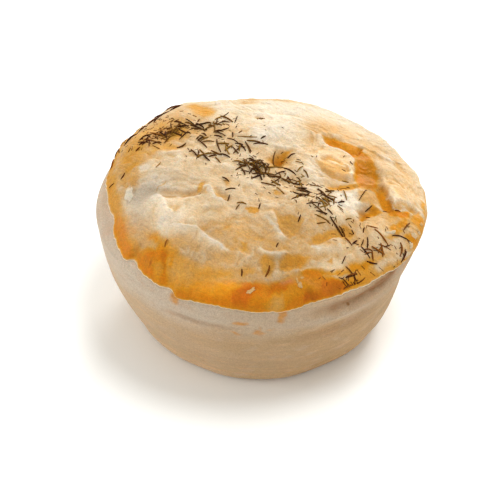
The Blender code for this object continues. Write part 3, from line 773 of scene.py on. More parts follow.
# %% [markdown]
# ### One sheet, closed below
#
# The lid starts as a square grid, because a grid has even faces all over. Its points are mapped to a disc in
# a way that keeps areas even, so no pole gathers thin faces in the middle. The grid's border is then extruded
# down to the lid's lower edge and in under it, ring by ring, and the last ring is filled, which closes the
# lid.

# %% Lay the sheet
LID_GRID = 290
UNDER_RINGS = (0.0, 0.9, 1.8, 3.0, 4.6)  # how far each ring of the underside lies in from the edge
EDGE_ROUND = 0.5
EDGE_LIP = 0.35  # the height of the rounded edge at its very end, as a share of its height further in
EDGE_FRAY = 0.26
EDGE_FRAYS = 38.0  # about how many frays there are to a radian
FRAY_SLICE = 7.0
EDGE_THIN = 0.45  # the sheet's thickness at its edge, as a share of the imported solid's
EDGE_SLOPE = 2.6  # how far in from the edge the sheet has its full thickness
DETAIL_START = (0.3, 3.0)  # how far in from the edge the fine detail starts and has its full height
BACK_CALM = 0.5  # how much smoother the lid is at its back
BACK_SPAN = (-5.0, 45.0)  # from where to where along Y it grows smoother
SEAT = 0.05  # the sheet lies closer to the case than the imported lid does


def square_to_disc(a, b):
    """Points of the square from -1 to 1 as (share of the radius, angle), keeping areas even."""
    wide = np.abs(a) > np.abs(b)
    longer = np.where(wide, a, b)
    ratio = np.where(wide, b, a) / np.where(longer == 0.0, 1.0, longer)
    angle = np.where(wide, 45.0 * ratio, 90.0 - 45.0 * ratio) + np.where(longer < 0.0, 180.0, 0.0)
    return np.abs(longer), turn_between(0.0, angle)


def closed_sheet():
    """A flat grid with its border extruded into rings and closed, and each vertex's ring number."""
    bm = bmesh.new()
    bmesh.ops.create_grid(bm, x_segments=LID_GRID, y_segments=LID_GRID, size=1.0)
    ring_starts = [0]
    border = [edge for edge in bm.edges if edge.is_boundary]
    for _ in UNDER_RINGS:
        ring_starts.append(len(bm.verts))
        extruded = bmesh.ops.extrude_edge_only(bm, edges=border)["geom"]
        border = [item for item in extruded if isinstance(item, bmesh.types.BMEdge) and item.is_boundary]
    bmesh.ops.contextual_create(bm, geom=border)
    bmesh.ops.triangulate(bm, faces=[face for face in bm.faces if len(face.verts) > 4])
    mesh = mesh_from(bm, "pie_lid")
    ring = np.searchsorted(ring_starts, np.arange(len(mesh.vertices)), side="right") - 1
    return mesh, ring


lid_mesh, lid_ring = closed_sheet()
square_a, square_b, _ = read_points(lid_mesh).T
lid_share, lid_angle = square_to_disc(square_a, square_b)
fray = EDGE_FRAY * unevenness(*plan(1.0, lid_angle), FRAY_SLICE, 1.0 / EDGE_FRAYS)
lid_reach = lid_share * (edge_reach(lid_angle) + fray)
lid_x, lid_y = plan(lid_reach, lid_angle)
top = lid_ring == 0
print("lid sheet:", len(lid_mesh.vertices), "points")


# %% Raise the sheet
def sheet_lift(reach, angle, inside):
    """The height of the sheet's top above the case, which thins towards its edge."""
    full = GAP + lid_lift(reach, angle)
    x, y = plan(reach, angle)
    detail = lid_detail(x, y) * smooth(*DETAIL_START, inside) * (1.0 - BACK_CALM * smooth(*BACK_SPAN, y))
    thinned = EDGE_THIN + (1.0 - EDGE_THIN) * smooth(0.0, EDGE_SLOPE, inside)
    return np.maximum(LEAST_LIFT, full + detail) * thinned


inside = edge_reach(lid_angle) + fray - lid_reach
near_edge = np.clip(1.0 - inside / EDGE_ROUND, 0.0, 1.0)
lift = np.full(len(lid_x), SEAT)
lift[top] = sheet_lift(lid_reach[top], lid_angle[top], inside[top])
lift[top] *= EDGE_LIP + (1.0 - EDGE_LIP) * np.sqrt(1.0 - near_edge[top] ** 2)
inset = np.array((0.0,) + UNDER_RINGS)[lid_ring]
write_points(lid_mesh, *over_rim(lid_reach - inset, lid_angle, lift))
print("lid thickness in mm:", round(float(lift[top].min()), 2), "to", round(float(lift[top].max()), 2))

# %% [markdown]
# ### How far each part of the lid has baked
#
# One field colours most of the lid: how far the pastry has baked, from 0 for its palest crests, over cream,
# tan and amber, to 1 for the deep orange of glaze that pooled and browned. It carries painted light and shade
# as well. It could be painted on with a brush, but a table can be read and put right entry by entry. So it is
# added up from a band of glaze along the edge, soft spots, patches with an edge of their own, some of them
# painted shade, and thin lines: pale ones on the crests of folds are painted highlights, and dark ones along
# furrows are painted shade. Noise bends them all, so that none keeps a clean outline, and hollows count as
# baked further than crests, partly real and partly painted shade. Three more fields hold where the pastry is
# scorched brown or carries painted shadow, where it carries a greyish painted shade, and where it is lighter
# or darker without another colour, much of it painted light and shade.

# %% The lid's band and spots
BAKE_GROUND = 0.25
# The band of glaze along the edge: its width at angles, and how far it has baked at angles
BAND_WIDTH = (
    (-178, 3.4),
    (-165, 3.6),
    (-156, 5.0),
    (-146, 6.5),
    (-137, 10.0),
    (-128, 10.5),
    (-118, 5.0),
    (-108, 5.6),
    (-96, 7.0),
    (-84, 6.6),
    (-74, 7.0),
    (-66, 7.0),
    (-58, 5.0),
    (-46, 3.4),
    (-30, 2.6),
    (-10, 1.8),
    (25, 2.0),
    (80, 2.4),
    (120, 2.8),
    (150, 3.0),
)
BAND_LEVEL = (
    (-178, 0.55),
    (-165, 0.62),
    (-156, 0.80),
    (-146, 0.78),
    (-128, 0.74),
    (-112, 0.74),
    (-100, 0.80),
    (-92, 0.84),
    (-84, 0.78),
    (-66, 0.82),
    (-50, 0.62),
    (-30, 0.50),
    (-10, 0.36),
    (25, 0.34),
    (80, 0.40),
    (120, 0.46),
    (150, 0.52),
)
# Spots in the same form as SWELLS, with how much each adds
BAKE_SPOTS = (
    (4.0, -33.0, 30.0, 11.0, -6, 0.13),
    (22.0, -22.0, 26.0, 12.0, -30, 0.08),
    (28.0, 8.0, 12.0, 22.0, 0, 0.10),
    (4.0, 44.0, 46.0, 16.0, -8, -0.15),
    (-22.0, 42.0, 9.0, 5.0, 20, 0.14),
    (6.0, 18.0, 7.0, 7.0, 0, -0.16),
    (-36.0, -9.0, 7.0, 9.0, 20, -0.20),
    (-27.0, -23.0, 7.0, 5.0, -30, -0.16),
    (-14.0, -34.0, 6.0, 1.6, -35, -0.12),
    (17.0, -1.0, 3.0, 9.0, 0, -0.16),
    (24.0, -16.0, 7.0, 6.0, 0, -0.16),
    (46.0, -20.0, 4.5, 8.0, 10, 0.24),
    (0.0, 30.0, 14.0, 8.0, 0, -0.12),
    (2.0, 50.5, 26.0, 3.5, 0, 0.30),
    (26.0, -14.5, 5.0, 4.0, -20, -0.26),
    (-8.0, -37.0, 5.0, 3.0, -20, 0.14),
    (-1.0, 18.0, 3.0, 6.0, 0, -0.14),
    (37.0, -3.0, 3.0, 9.0, 5, 0.14),
    (-43.5, -21.0, 2.4, 7.0, 0, 0.22),
    (-33.5, -36.5, 5.0, 3.4, -40, 0.14),
    (-42.0, 10.0, 6.0, 14.0, 0, 0.34),
    (-31.0, 24.0, 12.0, 12.0, 25, 0.26),
    (-27.5, 19.0, 4.2, 3.4, 50, 0.16),
    (-38.0, -23.0, 3.2, 7.0, 20, 0.32),
    (-41.0, -3.0, 4.0, 4.5, 0, 0.16),
    (-14.0, -42.6, 14.0, 4.0, -4, 0.08),
    (-24.0, -38.0, 7.0, 4.0, -25, 0.06),
    (-26.5, -19.6, 1.4, 1.2, 0, 0.24),
    (-12.0, -15.4, 3.0, 1.8, -50, 0.16),
    (38.0, -18.0, 6.0, 4.0, 20, 0.16),
    (36.0, 14.0, 4.0, 12.0, -10, 0.12),
    (46.5, 6.0, 3.0, 12.0, 6, 0.12),
    (42.0, -4.0, 4.0, 9.0, 0, 0.14),
    (16.5, 21.0, 2.4, 8.0, 0, 0.08),
    (22.0, 27.0, 8.0, 7.0, 0, 0.20),
    (-4.0, 44.0, 4.0, 5.0, 0, 0.26),
    (-5.5, 32.0, 5.0, 6.0, 0, 0.10),
    (5.6, 5.0, 4.6, 5.2, -20, 0.38),
    (8.0, 9.4, 1.6, 1.0, 10, 0.30),
    (33.0, -34.6, 4.0, 1.2, 30, 0.16),
    (-28.0, -42.0, 3.0, 2.0, -30, 0.10),
    (5.0, -12.6, 1.5, 1.0, -50, 0.34),
    (-10.4, -8.0, 1.0, 2.6, 0, 0.26),
    (-0.3, 29.2, 1.2, 1.0, 0, 0.30),
    (-10.0, 20.0, 12.0, 5.0, 10, 0.12),
    (-9.0, -30.0, 10.0, 3.0, -20, 0.12),
)
# Where the crust is scorched, and painted shadow in a pocket under a leaf, in the steam dimple and among the
# herb at the back left
SCORCH_AND_SHADOW_SPOTS = (
    (-3.6, -48.9, 2.4, 0.8, 5, 0.40),
    (15.0, -48.6, 3.0, 0.9, 18, 0.45),
    (22.5, -45.4, 3.0, 0.9, 26, 0.50),
    (-33.5, -35.6, 0.7, 0.6, -30, 0.8),
    (-29.2, -37.6, 0.8, 3.0, 0, 0.3),
    (32.2, 12.6, 0.5, 2.2, -15, 0.35),
    (31.6, -19.2, 1.2, 2.4, 0, 0.6),
    (41.0, -15.4, 3.4, 0.9, 10, 0.5),
    (6.0, 5.0, 2.0, 3.0, 0, 0.4),
    (-31.0, 20.0, 5.0, 2.4, 22, 0.45),
)
# Where a greyish painted shade lies, on slopes turned from the light and most of all on the left
GREY_SHADE_SPOTS = (
    (-37.0, -8.5, 4.5, 4.0, 0, 1.0),
    (-38.0, -18.0, 4.0, 8.0, 10, 0.6),
    (-31.0, -4.0, 8.0, 5.0, 0, 0.35),
    (-24.0, -27.0, 10.0, 3.0, -30, 0.30),
    (0.0, -46.0, 12.0, 1.0, 0, 0.30),
)
# Where the crust is lighter or darker without another colour. Glaze that pooled thick is darker; the rest is
# painted light and shade: lighter where the relief lies in shade, darker in dents, in the steam dimple and on
# the left
LIGHT_AND_TONE_SPOTS = (
    (-11.5, -47.3, 6.5, 1.9, -8, 0.34),
    (5.5, -48.5, 4.0, 2.5, 0, -0.14),
    (15.0, -49.0, 4.0, 1.5, 15, -0.12),
    (33.0, 0.0, 9.0, 3.8, 90, -0.27),
    (-43.0, 6.0, 5.0, 16.0, 0, -0.12),
    (-33.0, -32.0, 9.0, 6.0, -40, -0.10),
    (7.0, -41.5, 9.0, 4.5, 0, -0.20),
    (7.0, -27.0, 5.0, 5.0, 0, -0.20),
    (-20.0, -37.0, 6.0, 3.0, -15, -0.12),
    (-15.0, -14.0, 9.0, 9.0, 0, -0.08),
    (23.5, 4.0, 8.0, 5.0, -45, 0.36),
    (26.0, -14.5, 7.0, 6.0, -20, 0.22),
    (23.0, -5.0, 4.0, 2.0, -20, 0.14),
    (5.0, 5.0, 3.0, 3.6, -20, -0.10),
    (41.5, -9.0, 2.0, 5.0, 20, 0.28),
    (38.5, 3.0, 2.0, 7.0, 5, 0.10),
    (26.0, -1.5, 4.0, 2.4, -40, 0.20),
    (0.0, 32.0, 12.0, 8.0, 0, 0.10),
    (0.0, 48.0, 40.0, 8.0, 0, -0.07),
    (-27.0, -21.0, 8.0, 6.5, -30, 0.14),
    (45.5, -3.0, 5.0, 10.0, 0, 0.17),
    (-19.0, -44.0, 9.0, 2.5, -20, -0.06),
    (22.0, -40.5, 5.0, 2.5, 10, 0.16),
    (42.0, 18.0, 6.0, 13.0, 20, -0.08),
    (37.0, -24.0, 5.0, 4.0, 0, 0.16),
)

# %% The lid's patches and lines
# Patches with an edge of their own, some of them painted shade: (bake, softness of the edge, outline)
BAKE_AND_SHADE_PATCHES = (
    # the left of the edge's band, and its round blister
    (0.88, 0.8, ((-46, -10), (-43, -16), (-41, -23), (-39, -29), (-41, -31), (-45, -25), (-47, -15))),
    (0.68, 1.0, ((-42.5, -14), (-40, -21), (-37.5, -27), (-38, -30.5), (-41, -25))),
    (0.50, 0.9, ((-40, -24), (-37, -24), (-31, -31), (-32, -33), (-37, -29))),
    (0.90, 0.7, ((-37.5, -33), (-33, -33), (-30, -35), (-28.5, -38), (-29, -42), (-32, -41), (-36, -37))),
    (0.76, 0.9, ((-33, -37.5), (-30.5, -37.5), (-29.5, -40), (-31, -41))),
    # the band's front, from left to right
    (0.58, 1.4, ((-28, -38), (-24, -37), (-19, -40), (-18, -44), (-22, -46), (-27.5, -42))),
    (0.68, 1.9, ((-20, -42), (-16, -41), (-9, -43.5), (-8, -45), (-17, -46))),
    (0.90, 0.8, ((-25.5, -45), (-11, -49.5), (0, -51.5), (0, -53), (-17, -50), (-26, -47))),
    (0.80, 0.9, ((-17, -46), (-9.5, -46), (-5.5, -47.5), (-10, -49), (-17, -47.5))),
    (1.00, 0.9, ((-9, -49), (-3.5, -47.5), (-1, -49), (-4.5, -51.5), (-8.5, -51))),
    (0.95, 0.5, ((-6.5, -47), (-1.5, -46.5), (-1, -48), (-5.5, -48.5))),
    (0.93, 0.8, ((2.5, -47), (9, -46), (9.5, -47.5), (5.5, -50.5), (2, -50))),
    (0.58, 1.1, ((3, -50.5), (6, -50), (6.5, -51.5), (4.5, -53), (2, -52))),
    (0.92, 0.7, ((7.5, -51), (15, -48), (21.5, -46), (21.5, -47), (11, -51), (7, -52))),
    (0.84, 0.9, ((8, -47.5), (12.5, -47), (12.5, -48.5), (7.5, -50.5))),
    (0.88, 0.6, ((11.5, -44.5), (14, -42.5), (19, -43), (13, -46))),
    (1.00, 0.8, ((13, -49), (18, -47.5), (18, -48.5), (12.5, -50))),
    (0.94, 0.7, ((18, -45), (24.5, -43), (25, -45), (19, -48), (17.5, -47))),
    (0.66, 0.5, ((18, -43.5), (25.5, -41.5), (26, -42), (18.5, -44.5))),
    (0.84, 0.6, ((26.5, -39), (34, -35), (34.5, -37), (27, -41))),
    # the tan slope behind the front band; its tan on the shoulder that faces away from the light, and in the
    # dents beside the folds, is painted shade
    (0.46, 1.6, ((-27.5, -32.5), (-23, -32), (-18.5, -34.5), (-19, -36), (-27, -34.5))),
    (0.46, 1.8, ((-17, -36), (-12, -37), (-8, -39), (-9, -41), (-16, -39))),
    (0.62, 0.5, ((-6.5, -34.5), (-4.5, -34), (-4, -36), (-5, -37))),
    (0.58, 1.3, ((-9, -43.5), (-4, -42), (-1, -44), (4, -46), (10, -44.5), (10, -45.5), (3, -47), (-6, -46))),
    (0.62, 1.0, ((-0.5, -40.5), (1, -39), (3.5, -39.5), (4, -42), (3, -45), (0.5, -45))),
    (
        0.72,
        1.1,
        ((5.5, -40), (8, -38), (12, -37.5), (14.5, -38.5), (13, -41), (11, -43), (7, -44), (5.5, -43)),
    ),
    (
        0.24,
        0.9,
        ((17.5, -39), (20.5, -38), (24, -37), (25, -38), (24, -40.5), (22, -42), (19, -42), (17, -41)),
    ),
    (0.58, 0.3, ((19.5, -39), (21, -38), (21.5, -39.5))),
    (0.24, 1.2, ((15, -34.5), (17, -34), (24, -34.5), (24, -36), (17, -36.5))),
    (0.62, 0.6, ((15.5, -33), (15, -31), (25.5, -24.5), (28.5, -27), (27, -30.5), (21, -30))),
    (0.40, 0.5, ((0, -33.4), (2.2, -33.6), (2.8, -35.2), (1.2, -35.9), (-0.2, -34.8))),
    (0.56, 0.5, ((5, -23), (9, -22.8), (13, -25), (12, -28), (9, -31.8), (5, -29.8))),
    # the left half; its first two patches are painted shade in the recess under a torn leaf's edge
    (0.44, 0.3, ((-32, -10), (-28, -10.3), (-26, -11.5), (-27.3, -13.3), (-30.5, -12.8))),
    (0.40, 0.5, ((-24, -11), (-16.8, -11.2), (-16.5, -14), (-22.6, -14.2))),
    (0.62, 0.5, ((-19, -7.2), (-17.6, -6.8), (-18.2, -11.8), (-20, -11.6))),
    (0.58, 0.4, ((-41.4, -1), (-39.6, 0), (-38.4, -1.4), (-39.4, -3.8), (-41, -4.4))),
    (0.10, 0.9, ((-39, 3.6), (-36.4, 4.4), (-34.8, 3), (-35, 1), (-38, 0.8))),
    (0.54, 0.9, ((-36, 14.5), (-34.5, 9), (-33, 9.5), (-30, 11), (-27, 9), (-26, 12), (-31, 15.5))),
    (0.66, 1.9, ((-24.5, 38), (-22, 41), (-17.5, 38.5), (-15, 34), (-16, 30), (-18.5, 28), (-21.5, 31))),
    (0.66, 0.4, ((-4.8, -20), (-2.6, -19.5), (-0.5, -20.5), (-0.5, -22), (-2, -23), (-4.2, -22.5))),
    # the right half: the fold, the sunken pool, the tongues before it and the furrow beyond it. The tan below
    # the tongues, the dark pocket under a leaf below them, and the last patch, beside the ridge, are painted
    # shade
    (
        0.83,
        0.7,
        ((20.5, 20), (22, 15), (23, 13), (26, 11), (29.5, 8.5), (31, 7.5), (33, 14), (28, 17), (24.5, 18.5)),
    ),
    (0.86, 0.7, ((31, 8), (32, 13.5), (36, 9.5), (36.5, 4), (36.5, 0), (35.5, -7.5), (30, -7.5), (29, -3))),
    (0.46, 0.7, ((17.5, 5.5), (21, 3.5), (25, 1), (27.5, -2), (28, -4), (25.5, -3.5), (21.5, -2), (19, 1))),
    (0.70, 0.5, ((20.5, -8), (24.5, -6.5), (29.5, -6), (30, -9.5), (26, -10.5), (22, -9.5))),
    (0.48, 1.0, ((29.5, -8.5), (36, -8), (37.5, -13), (35, -15.5), (31, -15))),
    (
        0.84,
        0.5,
        (
            (35.5, -6.5),
            (38, -6),
            (39.5, -9.5),
            (42.5, -14.5),
            (44, -17),
            (40, -18),
            (37.5, -14.5),
            (36, -9.5),
        ),
    ),
    (0.88, 0.5, ((42, -15), (46, -13.5), (46, -15.5), (44, -17.5), (41.5, -17.5))),
    (0.80, 0.6, ((30.5, -22), (31, -18.5), (34.5, -14.5), (37.5, -17.5), (33, -20))),
    (0.82, 0.5, ((40, -22.5), (45, -17), (45.5, -19), (42, -23))),
    (0.78, 0.5, ((47.5, -13), (49, -11), (49, -14), (47.5, -15))),
    (0.85, 0.4, ((44, -24), (45.5, -22), (45, -24))),
    (0.66, 0.4, ((50, -4), (51, -5), (50, -10.5), (49.5, -10.5))),
    (0.60, 0.5, ((38, -27), (40.5, -25), (41.5, -25.5), (39.5, -27.5))),
    (0.74, 0.6, ((39, -23.5), (40.5, -21), (43.5, -22.5), (42, -25))),
    (0.80, 0.5, ((44, -24), (46, -21.5), (47.5, -22), (46, -25))),
    (0.74, 0.7, ((46.5, -16), (48, -13), (50.5, -13), (49.5, -17), (48, -20))),
    (0.30, 1.0, ((37.5, 9), (39.5, 7), (39.5, -5), (37.5, -4), (37.5, 2))),
)
# Lines of their own colour: (bake, half width, course). Pale ones along the crests of folds are painted
# highlights, and dark ones along furrows and round the blister are painted shade
LIGHT_AND_SHADE_LINES = (
    (0.06, 0.45, ((-30.5, -17), (-29.2, -20), (-28.3, -21.8), (-26.6, -23.6))),
    (0.06, 0.50, ((-19, -29.5), (-17.5, -32), (-15, -33.6), (-12.6, -35), (-11, -36.6), (-9, -37.4))),
    (0.10, 0.35, ((-1.4, -35.2), (-0.4, -36.6), (0.8, -37.6), (2.6, -38.4), (5.4, -38.3))),
    (0.10, 0.50, ((0.8, -23.5), (2.6, -26.5), (4, -29.4), (6.2, -31.6), (8, -32.8))),
    (0.10, 0.35, ((-16.6, -9.5), (-15.6, -12), (-14.8, -15), (-14, -17.4), (-10, -18))),
    (0.40, 0.30, ((-6, -45.4), (-3, -44.7), (0.2, -45.4), (2.2, -46.6), (5, -46), (8, -45), (10.5, -44.8))),
    (0.36, 0.40, ((4.4, -39.4), (4.7, -41.6), (4.6, -44.6))),
    (0.30, 0.35, ((20, -43.4), (23.5, -42.9), (26.4, -41.4), (29.4, -40.4))),
    (0.08, 0.50, ((14.6, -33.4), (16, -34.4), (18.4, -35.6))),
    (0.15, 0.40, ((21, 15), (23, 12.5), (26, 10.5), (29, 8), (30.4, 6.6))),
    (0.15, 0.35, ((17.5, 3.5), (19, 0), (21.5, -3), (25.5, -4.8), (28.6, -5))),
    (0.18, 0.35, ((21, -10.5), (25, -11), (29.6, -10.6), (33, -9.5))),
    (0.20, 0.35, ((38.2, -6.5), (39.6, -10), (41.5, -14.5), (45.4, -12.6), (48.8, -11.6))),
    (0.24, 0.60, ((32, -38.5), (36, -35.5), (40.5, -31), (44.5, -27), (47, -23))),
    (0.95, 0.40, ((33.4, 14.6), (32.8, 12.4), (31.6, 10))),
    (0.56, 0.25, ((19, 6), (22.5, 5.5), (25, 3), (28.5, -3))),
    (0.60, 0.20, ((-33, -8.2), (-31, -6.8), (-29.6, -5.2))),
    (0.92, 0.30, ((-30.4, -33.6), (-29.3, -36), (-28.9, -38.6), (-29.2, -40))),
    (0.78, 0.50, ((-27.2, -34.6), (-26.9, -38), (-27.9, -40.8))),
)
LINE_FADE = 0.2  # the share of a line's length over which each end fades out
SHAPE_REACH = 3  # how many times its size a shape is felt beyond its points


def filled(x, y, outline, softness):
    """1 inside an outline, 0 outside it, and an even rise across its edge."""
    distance = beside_course(x, y, outline + outline[:1])[0]
    inside = np.zeros(np.shape(x), bool)
    for (first_x, first_y), (last_x, last_y) in zip(outline, outline[1:] + outline[:1]):
        if first_y != last_y:
            crossing = first_x + (y - first_y) * (last_x - first_x) / (last_y - first_y)
            inside ^= ((first_y > y) != (last_y > y)) & (x < crossing)
    return smooth(-softness, softness, np.where(inside, distance, -distance))


def along_line(x, y, course, half_width):
    """1 on a line, fading across it and towards its ends."""
    distance, _, share = beside_course(x, y, course)
    return faded_ends(share, LINE_FADE) * np.exp(-((distance / half_width) ** 2))


def laid_over(field, x, y, shapes, cover):
    """A field with shapes of (value, size, points) laid over it one by one, where their cover says."""
    field = np.array(field)
    for value, size, points in shapes:
        low = np.min(points, axis=0) - SHAPE_REACH * size
        high = np.max(points, axis=0) + SHAPE_REACH * size
        near = (x > low[0]) & (x < high[0]) & (y > low[1]) & (y < high[1])
        field[near] += cover(x[near], y[near], points, size) * (value - field[near])
    return field


# %% Paint the lid
HOLLOW_BLUR = 9  # points of the grid
HOLLOW_DEPTH = 1.2  # a hollow this deep counts in full
# How much further a hollow counts as baked: partly real, and partly painted shade in the hollows.
HOLLOW_BAKE_AND_SHADE = 0.34
SPOT_WANDER = ((1.2, 4.0, 71.0, 77.0), (0.6, 1.6, 73.0, 79.0))  # how noise bends the soft spots
SHAPE_WANDER = ((0.5, 2.2, 85.0, 91.0), (0.3, 0.9, 87.0, 93.0))  # and the patches and lines
BAND_WAVER = 0.3  # how much wider and narrower noise makes the band
BAND_WAVER_SCALE = 4.0
BAND_WAVER_SLICE = 83.0
BAND_SIDE = (1.35, 0.65)  # where the band's inner side starts and ends, as shares of its width
BAKE_SHARPNESS = 2.6
BROWN_SHARPNESS = 2.5
MOST_BAKED = 0.98
# The lid's edge is pale: partly its cut leaves, which baked less, and partly a painted highlight along the
# rim.
EDGE_BARE = 0.05  # how far in from the lid's edge its cut leaves are not baked at all
EDGE_BRIGHT = 0.1  # how far in they are lightest
EDGE_PALE = 0.45  # where the paleness ends
EDGE_HIGHLIGHT = 0.30  # how much lighter they are


def blurred(values, width):
    """Values of the lid's grid averaged over squares of neighbours."""
    kernel = np.ones(width) / width
    grid = np.pad(values.reshape(LID_GRID + 1, LID_GRID + 1), width // 2, mode="edge")
    for axis in (0, 1):
        grid = np.apply_along_axis(np.convolve, axis, grid, kernel, mode="valid")
    return grid.ravel()


relief = (lift - LID_CROWN * (1.0 - lid_share**LID_SHOULDER) ** along_rim(lid_angle, LID_FALL))[top]
hollow = np.zeros(len(lid_x))
hollow[top] = (blurred(blurred(relief, HOLLOW_BLUR), HOLLOW_BLUR) - relief) / HOLLOW_DEPTH
spot_place = wandered(lid_x, lid_y, SPOT_WANDER)
shape_place = wandered(lid_x, lid_y, SHAPE_WANDER)
waver = 1.0 + BAND_WAVER * unevenness(lid_x, lid_y, BAND_WAVER_SLICE, BAND_WAVER_SCALE)
band_width = along_rim(lid_angle, BAND_WIDTH) * waver
band = along_rim(lid_angle, BAND_LEVEL) * smooth(*BAND_SIDE, inside / band_width)
baked_with_light = BAKE_GROUND + patches(*spot_place, BAKE_SPOTS, BAKE_SHARPNESS)
# Hollows get more bake, partly painted shade.
baked_with_light = np.hypot(baked_with_light + HOLLOW_BAKE_AND_SHADE * np.clip(hollow, -1.0, 1.0), band)
baked_with_light = laid_over(baked_with_light, *shape_place, BAKE_AND_SHADE_PATCHES, filled)
# Painted highlights on crests and painted shade in furrows.
baked_with_light = laid_over(baked_with_light, *shape_place, LIGHT_AND_SHADE_LINES, along_line)
# The edge is kept pale, partly as a painted highlight.
paint(lid_mesh, "bake", np.clip(baked_with_light * smooth(EDGE_BARE, EDGE_PALE, inside), 0.0, MOST_BAKED))
# Lighter and darker, much of it painted light and shade, with a painted highlight along the edge.
tone = patches(*spot_place, LIGHT_AND_TONE_SPOTS) + EDGE_HIGHLIGHT * smooth(EDGE_PALE, EDGE_BRIGHT, inside)
paint(lid_mesh, "tone", tone)
# Scorched brown, and painted shadow in a pocket, in the steam dimple and under the herb.
paint(lid_mesh, "brown", patches(*spot_place, SCORCH_AND_SHADOW_SPOTS, BROWN_SHARPNESS))
# A greyish painted shade.
paint(lid_mesh, "grey", patches(*spot_place, GREY_SHADE_SPOTS))
lid = show(lid_mesh, "pie_lid")
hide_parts("pastry_lid")

# %% [markdown]
# ### Loose flakes
#
# Scraps of the top leaf came away and lie on the glaze, still pale. The five small ones on the front band
# stand where glints lie on the glaze, and are painted highlights. Each is a little grid made thick by an
# extrusion, cut ragged by noise, and laid on the lid with one end standing free.

# %% Lay the loose flakes
# The five flakes on the front band stand where glints lie on the glaze: painted highlights.
# (x, y, length, width, heading of the free end, how high it stands, bake)
LOOSE_FLAKES_AND_GLINTS = (
    (-41.3, -6.8, 4.2, 2.3, 95, 0.5, 0.06),
    (-3.4, -49.8, 2.8, 0.6, -3, 0.2, 0.38),
    (-2.6, -49.2, 1.6, 0.8, 60, 0.2, 0.44),
    (11.4, -47.8, 1.7, 1.0, -55, 0.2, 0.42),
    (10.6, -46.8, 1.8, 0.7, -70, 0.2, 0.46),
    (12.0, -45.8, 1.0, 0.6, 20, 0.2, 0.50),
    (39.6, -24.8, 3.2, 0.9, 22, 0.3, 0.16),
    (46.0, -22.0, 1.8, 0.7, 60, 0.3, 0.30),
    (47.6, -19.4, 1.4, 0.5, 50, 0.2, 0.36),
    (44.8, -25.2, 1.6, 0.7, 70, 0.2, 0.26),
    (48.6, -15.8, 1.4, 0.5, 62, 0.2, 0.40),
)
FLAKE_CUTS = 7
FLAKE_THICKNESS = 0.18
FLAKE_SINK = 0.4  # the share of its thickness that lies below the surface
FLAKE_RAGGED = 0.75
FLAKE_RAGS = 1.6  # the higher, the finer its edge is torn
FLAKE_SLICE_STEP = 5.0  # from one flake to the next, so that no two are torn alike
FLAKE_RISE = (-0.6, 1.4)  # where along its length a flake starts to rise and would be fully up


def surface_lift(x, y):
    """The height of the finished lid above the case, at places."""
    reach, angle = polar(x, y)
    return sheet_lift(reach, angle, edge_reach(angle) - reach)


def laid_flakes():
    """All loose flakes as one mesh, each with its own bake."""
    bm = bmesh.new()
    for _ in LOOSE_FLAKES_AND_GLINTS:
        made = bmesh.ops.create_grid(bm, x_segments=FLAKE_CUTS, y_segments=FLAKE_CUTS, size=1.0)["verts"]
        faces = list({face for vertex in made for face in vertex.link_faces})
        extruded = bmesh.ops.extrude_face_region(bm, geom=faces, use_keep_orig=True)["geom"]
        raised = [item for item in extruded if isinstance(item, bmesh.types.BMVert)]
        bmesh.ops.translate(bm, verts=raised, vec=(0, 0, 1))
    mesh = mesh_from(outward(bm), "loose_flakes")
    across, along, top = read_points(mesh).T
    each = len(across) // len(LOOSE_FLAKES_AND_GLINTS)
    points = np.empty((len(across), 3))
    bakes = np.empty(len(across))
    for number, (x, y, length, width, heading, stand, bake) in enumerate(LOOSE_FLAKES_AND_GLINTS):
        part = slice(number * each, (number + 1) * each)
        share, turn = square_to_disc(across[part], along[part])
        ragged = 1.0 + FLAKE_RAGGED * unevenness(*plan(FLAKE_RAGS, turn), FLAKE_SLICE_STEP * number, 1.0)
        out, side = plan(share * ragged, turn)
        step_x, step_y = swung(out * length / 2, side * width / 2, heading)
        place = polar(x + step_x, y + step_y)
        lift = surface_lift(x + step_x, y + step_y) + stand * smooth(*FLAKE_RISE, out)
        lift += FLAKE_THICKNESS * (top[part] - FLAKE_SINK)
        points[part] = np.stack(over_rim(*place, lift), axis=-1)
        bakes[part] = bake
    write_points(mesh, *points.T)
    paint(mesh, "bake", bakes)
    return show(mesh, "loose_flakes")


flakes = laid_flakes()

# %% [markdown]
# ## Dried herb
#
# The lid is strewn with dried herb: dark needles 2 to 7 mm long that broke and curled as they dried, thick
# along a line across the pie and in a knot at its middle, with crumbs of the same herb between them. Each
# needle is a slim prism that narrows to its ends. It could be copied from one template, but then all would be
# straight; here each is made in its place, bent a little, and laid so that it bridges the dips of the pastry
# as a stiff thing does. The needles that show best are placed one by one, and the rest are drawn from the
# drifts they lie in.

# %% Where the herb lies
NEEDLE_MARGIN = 0.9  # how far a needle's tips stay inside the lid's edge
